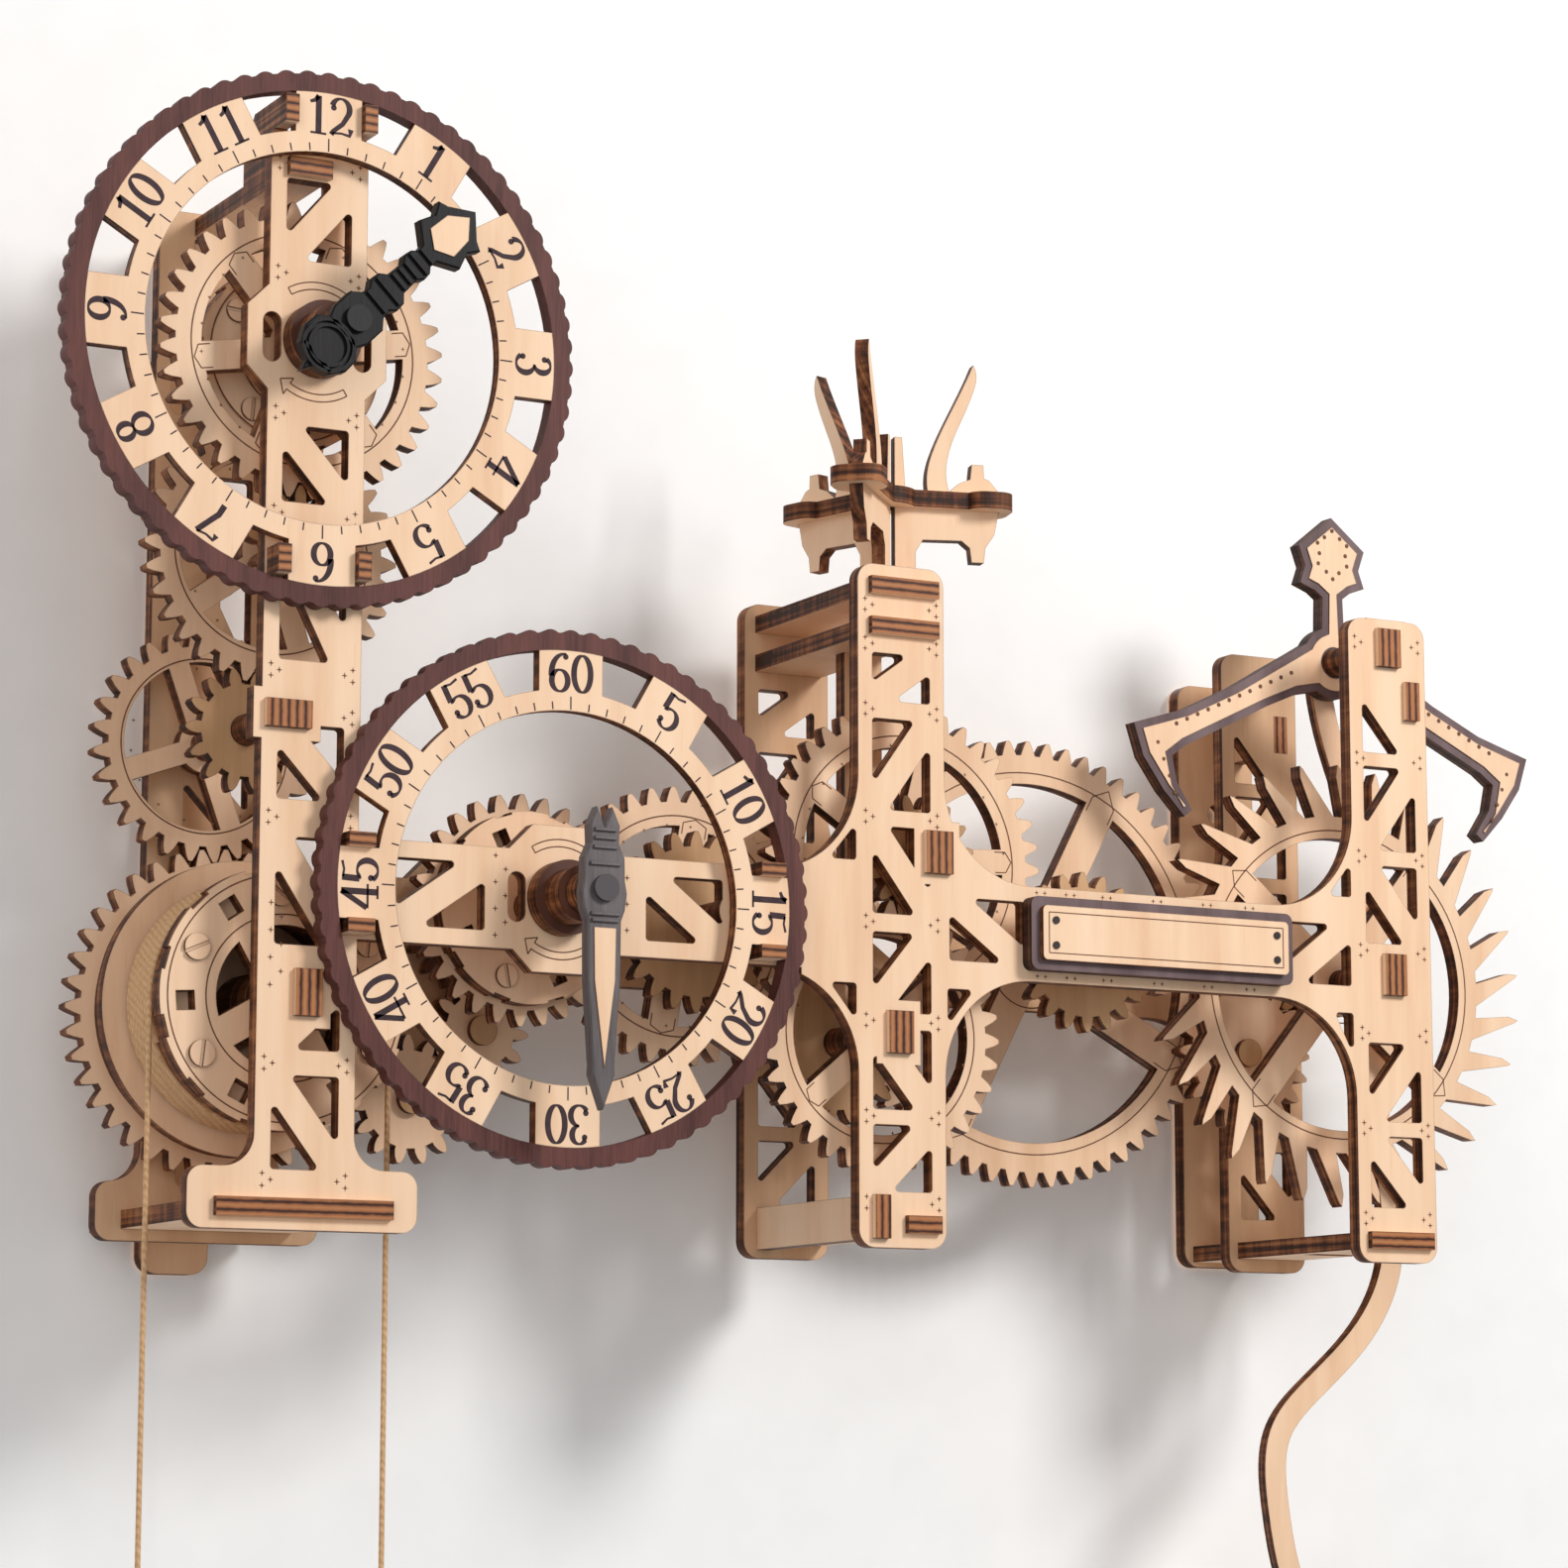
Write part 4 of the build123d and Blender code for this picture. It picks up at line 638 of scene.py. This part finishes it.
def spoke_marks(node, body, spokes, turn, rim_r, half, length):
    """Where each spoke meets the rim, an engraved pointed end that runs on into the rim."""
    relief = Relief(f"{node}_spoke_marks", body, ENGRAVED, front(node))
    for k in range(spokes):
        start, shoulder, tip = rim_r - 2.0, rim_r + 0.35 * length, rim_r + length
        outline = [turned(pivot(body), turn + 360 * k / spokes, out, aside) for out, aside in (
            (start, half), (shoulder, half), (tip, 0), (shoulder, -half), (start, -half))]
        for first, second in zip(outline, outline[1:]):
            relief.bar(first, second, MARK_W)
    relief.make()


# node, body, number of spokes, direction of the first, rim's inner radius, spoke's half width, mark's length
for marks in (("great_wheel", "great", 4, 20, 27.0, 2.6, 2.2), ("hour_wheel", "hour", 6, 10, 23.5, 2.6, 2.0),
              ("arm_wheel", "arm", 4, 80, 23.1, 3.0, 2.0), ("upper_wheel", "upper", 5, 75, 26.5, 2.4, 2.4),
              ("bridge_wheel", "bridge", 4, 62, 43.5, 3.4, 5.6),
              ("escape_wheel", "escape", 4, 50, 36.0, 2.8, 4.6),
              ("lower_wheel", "lower", 4, 40, 22.7, 2.4, 1.6)):
    spoke_marks(*marks)


# ------------------------------------------------------------------ engraving on the front plates
PIP = 0.72               # size of a burn mark
TOWER_HALF = 9.4         # from a tower's middle to the middle of its uprights
HOUR_TOWER_X, LEFT_TOWER_X, RIGHT_TOWER_X = 0.0, 145.0, 281.5
TRIO = ((0, -1.3), (0, 1.3), (1.9, 0))      # three marks, (inwards, up)
LATTICE_ASIDE = 1.2
LATTICE_STEP = 2.9
BRIDGE_PIP = 0.6
BRIDGE_PAIR = 1.1        # half the distance within a pair on the bridge


def pip_rows(relief, x, heights):
    """Three burn marks at each joint of the truss, on both uprights of a tower."""
    for z in heights:
        for side in (-1, 1):
            for inwards, dz in TRIO:
                relief.cross((x + side * TOWER_HALF - side * inwards, z + dz), PIP)


def pip_lattice(relief, x, z, rows):
    """Two staggered columns of burn marks round (x, z)."""
    for k in range(rows):
        aside = LATTICE_ASIDE if k % 2 else -LATTICE_ASIDE
        relief.cross((x + aside, z + LATTICE_STEP * (k - (rows - 1) / 2)), PIP)


plate_front = front("front_plate_left")
pips = Relief("left_plate_pips", "frame", ENGRAVED, plate_front)
pip_rows(pips, HOUR_TOWER_X, (230.0, 205.6, 174.6, 152.8, 118.6, 109.4, 87.0, 34.8, 10.4))
pip_lattice(pips, HOUR_TOWER_X - 7.2, 60.0, 7)
for beside in (-14.4, 15.0):
    pip_lattice(pips, pivot("minute")[0] + beside, pivot("minute")[1], 7)
pips.make()
pips = Relief("right_plate_pips", "frame", ENGRAVED, front("front_plate_right"))
pip_rows(pips, LEFT_TOWER_X, (146.4, 137.4, 122.2, 97.4, 73.4, 51.0, 29.4, 10.0))
pip_rows(pips, RIGHT_TOWER_X, (150.0, 121.4, 97.4, 74.6, 54.6, 31.8, 10.4))
for x in (182, 190, 200, 214, 228, 240):
    for z in (82.7, 63.3):
        pips.cross((x - BRIDGE_PAIR, z), BRIDGE_PIP)
        pips.cross((x + BRIDGE_PAIR, z), BRIDGE_PIP)
pips.make()

ARROW_W = 0.28
ARROW_BAND = (11.6, 13.2)    # radii of an arrow's two sides
ARROW_HEAD = (10.2, 14.6)    # radii of the head's two corners
ARROW_SWEEP = 64
ARROW_TIP = (11, 12.4)       # the tip: degrees beyond the head's corners, and radius
arrows = Relief("hub_arrows", "frame", ENGRAVED, plate_front)
for body in ("hour", "minute"):
    centre = pivot(body)
    for head in (58, 238):
        tail = head + ARROW_SWEEP
        for radius in ARROW_BAND:
            arrows.ring(centre, radius - ARROW_W / 2, radius + ARROW_W / 2, head, ARROW_SWEEP, 20)
        arrows.bar(polar(centre, tail, ARROW_BAND[0]), polar(centre, tail, ARROW_BAND[1]), ARROW_W)
        tip = polar(centre, head - ARROW_TIP[0], ARROW_TIP[1])
        for radius in ARROW_HEAD:
            arrows.bar(polar(centre, head, radius), tip, ARROW_W)
        arrows.bar(polar(centre, head, ARROW_HEAD[0]), polar(centre, head, ARROW_BAND[0]), ARROW_W)
        arrows.bar(polar(centre, head, ARROW_BAND[1]), polar(centre, head, ARROW_HEAD[1]), ARROW_W)
arrows.make()

# ------------------------------------------------------------------ name board: rivets and a plain border
BORDER_INSET, BORDER_W = 1.6, 0.25
RIVET_INSET, RIVET_R, RIVET_RISE = 3.4, 0.9, 0.35


def inset_corners(node, inset):
    """The four corners of a node's front, set in by `inset`, counter-clockwise."""
    low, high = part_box(node)
    x0, x1 = low[0] / MM + inset, high[0] / MM - inset
    z0, z1 = low[2] / MM + inset, high[2] / MM - inset
    return [(x0, z0), (x1, z0), (x1, z1), (x0, z1)]


border = Relief("name_plate_border", "frame", ENGRAVED, front("name_plate"))
corners = inset_corners("name_plate", BORDER_INSET)
for a, b in zip(corners, corners[1:] + corners[:1]):
    border.bar(a, b, BORDER_W)
border.make()
rivets = Relief("name_plate_rivets", "frame", RIVET, front("name_plate"), "grey_stain", rise=RIVET_RISE)
for corner in inset_corners("name_plate", RIVET_INSET):
    rivets.disc(corner, RIVET_R)
rivets.make()


# ------------------------------------------------------------------ hands: pale inlays and ribs
HOUR_HAND_AT, MINUTE_HAND_AT = 45.0, 180.0      # degrees clockwise from the top
INLAY_RISE = 0.25


def hour_put(x, y):
    """(across, along) on the hour hand as (across, up) from the front."""
    return turned(pivot("hour"), -HOUR_HAND_AT, x, y)


def minute_put(x, y):
    return turned(pivot("minute"), -MINUTE_HAND_AT, x, y)


inlay = Relief("hour_hand_inlay", "hour_pointer", FRONT_PLY, front("hour_hand"), rise=INLAY_RISE)
inlay.prism([hour_put(x, y) for x, y in (
    (0, 24.6), (3.9, 27.2), (3.5, 32.4), (0, 36.2), (-3.5, 32.4), (-3.9, 27.2))])
inlay.make()
ribs = Relief("hour_hand_ribs", "hour_pointer", BLACK_STAIN, front("hour_hand"), "black_stain", rise=0.7)
for y, half in ((6.0, 3.0), (9.8, 3.8), (13.2, 2.2), (15.2, 2.1), (17.2, 2.2), (19.6, 2.9), (22.2, 2.0),
                (-13.2, 4.2), (-4.6, 3.8)):
    ribs.bar(hour_put(-half, y), hour_put(half, y), 0.8)
for radius in (4.4, 5.6):
    ribs.ring(hour_put(0, -9.4), radius - 0.3, radius + 0.3, steps=40)
ribs.make()
inlay = Relief("minute_hand_inlay", "minute_pointer", FRONT_PLY, front("minute_hand"), rise=INLAY_RISE)
inlay.prism([minute_put(x, y) for x, y in ((-2.6, 8.6), (2.6, 8.6), (2.4, 20.0), (0.0, 38.5), (-2.4, 20.0))])
inlay.make()
ribs = Relief("minute_hand_ribs", "minute_pointer", GREY_STAIN, front("minute_hand"), "grey_stain", rise=0.6)
for y, half in ((-12.6, 2.6), (-10.8, 2.6), (-8.8, 2.8), (-5.2, 3.6), (5.6, 3.4), (7.0, 3.2)):
    ribs.bar(minute_put(-half, y), minute_put(half, y), 0.7)
ribs.make()


# ------------------------------------------------------------------ pale inlay on a node's front face
def inlaid(node, name, body, margin, rise, material):
    """A thin sheet on the front face of a CAD node, set in from its outline by `margin`."""
    bm = bmesh.new()
    bm.from_mesh(nodes[node].data)
    face_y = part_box(node)[0][1]
    spare = [f for f in bm.faces if any(abs(v.co.y - face_y) > 1e-6 for v in f.verts)]
    bmesh.ops.delete(bm, geom=spare, context="FACES")
    bmesh.ops.remove_doubles(bm, verts=bm.verts, dist=WELD)
    bmesh.ops.dissolve_limit(bm, angle_limit=0.01, verts=bm.verts, edges=bm.edges)
    bmesh.ops.triangulate(bm, faces=bm.faces)
    rim = bmesh.ops.inset_region(bm, faces=bm.faces, thickness=margin * MM, use_even_offset=True,
                                 use_boundary=True)["faces"]
    bmesh.ops.delete(bm, geom=rim, context="FACES")
    bmesh.ops.translate(bm, verts=bm.verts, vec=(0, -rise * MM, 0))
    made = bmesh.ops.extrude_face_region(bm, geom=bm.faces[:])
    down = [v for v in made["geom"] if isinstance(v, bmesh.types.BMVert)]
    bmesh.ops.translate(bm, verts=down, vec=(0, (rise + SUNK) * MM, 0))
    bmesh.ops.recalc_face_normals(bm, faces=bm.faces)
    mesh = bpy.data.meshes.new(name)
    bm.to_mesh(mesh)
    bm.free()
    mesh.materials.append(material)
    piece = new_piece(name, mesh)
    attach(piece, body)


inlaid("anchor", "anchor_inlay", "pendulum", margin=1.9, rise=0.3, material=DIAL_PLY)
DOT_R, TIP_DOT_R = 0.55, 0.5
HEAD_DOTS = ((0, 21.2), (1.9, 22.9), (4.3, 24.8), (3.9, 27.4), (4.4, 30.0), (2.3, 31.6))
anchor_at = pivot("pendulum")
dots = Relief("anchor_dots", "pendulum", ENGRAVED, front("anchor"), rise=0.36)
for side in (-1, 1):
    for k in range(12):      # along each arm
        t = k / 11
        dots.disc((anchor_at[0] + side * (13 + 34 * t), anchor_at[1] - 3.6 - 15.4 * t), DOT_R, 10)
    for k in range(4):       # down each pallet
        dots.disc((anchor_at[0] + side * (52.4 - 1.6 * k), anchor_at[1] - 24 - 4 * k), TIP_DOT_R, 10)
for x, z in (*HEAD_DOTS, *((-x, z) for x, z in HEAD_DOTS[1:]), (0, 33.4)):
    dots.disc((anchor_at[0] + x, anchor_at[1] + z), DOT_R, 10)
dots.make()

# ------------------------------------------------------------------ cords
CORD_R = 0.6
KNOT_R = 1.5
KNOT_UP = 2.4            # from a cord's lower end to the middle of its knot


def cord_curve(name, points, radius):
    data = bpy.data.curves.new(name, "CURVE")
    data.dimensions = "3D"
    data.bevel_depth = radius * MM
    data.bevel_resolution = 4
    data.use_fill_caps = True
    spline = data.splines.new("NURBS")
    spline.points.add(len(points) - 1)
    for point, co in zip(spline.points, points):
        point.co = (*co, 1)
    spline.order_u = 3
    spline.use_endpoint_u = True
    spline.resolution_u = 12
    data.materials.append(CORD)
    piece = new_piece(name, data)
    return piece


def knot(name, centre, radius):
    """An overhand knot: two crossed loops of the same cord, pulled tight."""
    steps = 24
    points = []
    for i in range(steps + 1):
        t = 2 * math.pi * i / steps
        points.append((centre[0] + radius * MM * math.sin(2 * t),
                       centre[1] + radius * MM * 0.8 * math.sin(3 * t),
                       centre[2] + radius * MM * 1.2 * math.cos(t)))
    piece = cord_curve(name, points, CORD_R * 0.8)
    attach(piece, "frame")
    return piece


for node in ("weight_cord", "winding_cord"):
    low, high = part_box(node)
    x, y = (low[0] + high[0]) / 2, (low[1] + high[1]) / 2
    top, bottom = high[2], low[2]
    route = [(x, y, top), (x, y, (top + bottom) / 2), (x, y, bottom)]
    piece = cord_curve(f"{node}_strand", route, CORD_R)
    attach(piece, "frame")
    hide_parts(node)
    tied = knot(f"{node}_knot", (x, y, bottom + KNOT_UP * MM), KNOT_R)

# The cord wound on the drum, as one helix
WOUND = (44.2, 57.4)     # depths between which the turns lie
TURN_GAP = 0.05
DRUM_R = 26.4
PRESSED = 0.9            # a turn's middle stands this many cord radii off the drum
STEPS_A_TURN = 40
turns = (WOUND[1] - WOUND[0]) / (2 * CORD_R + TURN_GAP)
drum_at = pivot("drum")
steps = int(turns * STEPS_A_TURN)
helix = []
for i in range(steps + 1):
    t = i / steps
    x, z = polar(drum_at, 360 * turns * t, DRUM_R + CORD_R * PRESSED)
    helix.append(at(x, WOUND[0] + (WOUND[1] - WOUND[0]) * t, z))
winding = cord_curve("drum_winding_turns", helix, CORD_R)
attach(winding, "drum")

# ------------------------------------------------------------------ wall, light and camera
WALL_SIZE = 6.0
WALL_AT = (0.15, 0.0008, 0.1)        # just behind the wall plates
bpy.ops.mesh.primitive_plane_add(size=WALL_SIZE, location=WALL_AT, rotation=(math.radians(90), 0, 0))
wall = bpy.context.object
wall.name = "wall_backdrop"
wall_shader = Shader("wall_paint")
grainy = wall_shader.noise((60, 60, 60), 2.0)
paint = wall_shader.ramp(grainy, (0.3, (0.93, 0.93, 0.935)), (0.7, (0.96, 0.96, 0.965)))
wall.data.materials.append(wall_shader.finish(paint, 0.9))
wall_shader.clear_from_behind()


def area_light(name, location, target, size, power, colour=(1, 1, 1)):
    data = bpy.data.lights.new(name, "AREA")
    data.size, data.energy, data.color = size, power, colour
    lamp = new_piece(name, data)
    lamp.location = location
    lamp.rotation_euler = (Vector(target) - Vector(location)).to_track_quat("-Z", "Y").to_euler()
    return lamp


MIDDLE = (0.13, -0.05, 0.08)
area_light("key", (0.62, -0.95, 0.62), MIDDLE, 0.30, 9.2, (1.0, 0.985, 0.96))
area_light("fill", (-0.9, -1.4, 0.4), MIDDLE, 1.6, 9.6, (1.0, 0.985, 0.97))

# A lamp behind the wall that only the wall plates meet, so that their rear faces can be seen from behind
rear_lamp = area_light("rear", (0.5, 0.9, 0.5), MIDDLE, 0.6, 6.0)
plates_only = bpy.data.collections.new("wall_plates_only")
plates_only.objects.link(nodes["wall_plates"])
rear_lamp.light_linking.receiver_collection = plates_only
rear_lamp.light_linking.blocker_collection = plates_only

WORLD_LIGHT = 0.35       # what lights the clock from all round
WORLD_SEEN = 0.95        # what the camera sees past the wall's edge, or from behind
world = bpy.data.worlds.new("studio")
bpy.context.scene.world = world
world.use_nodes = True
background = world.node_tree.nodes["Background"]
background.inputs["Color"].default_value = (1, 1, 1, 1)
rays = world.node_tree.nodes.new("ShaderNodeLightPath")
strength = world.node_tree.nodes.new("ShaderNodeMath")
strength.operation = "MULTIPLY_ADD"
strength.inputs[1].default_value = WORLD_SEEN - WORLD_LIGHT
strength.inputs[2].default_value = WORLD_LIGHT
world.node_tree.links.new(rays.outputs["Is Camera Ray"], strength.inputs[0])
world.node_tree.links.new(strength.outputs[0], background.inputs["Strength"])
bpy.context.scene.view_settings.view_transform = "Standard"

LENS = 103.74            # millimetres, on a sensor 36 wide
CAMERA_AT = (-0.3637, -0.9609, -0.0545)
AZIMUTH, ELEVATION = math.radians(28.47), math.radians(8.93)     # the way the camera looks
camera_data = bpy.data.cameras.new("camera")
camera_data.lens = LENS
camera_data.sensor_width = 36.0
camera_data.clip_start = 0.01
camera = new_piece("camera", camera_data)
camera.location = CAMERA_AT
look = Vector((math.sin(AZIMUTH) * math.cos(ELEVATION), math.cos(AZIMUTH) * math.cos(ELEVATION),
               math.sin(ELEVATION)))
camera.rotation_euler = look.to_track_quat("-Z", "Y").to_euler()
bpy.context.scene.camera = camera
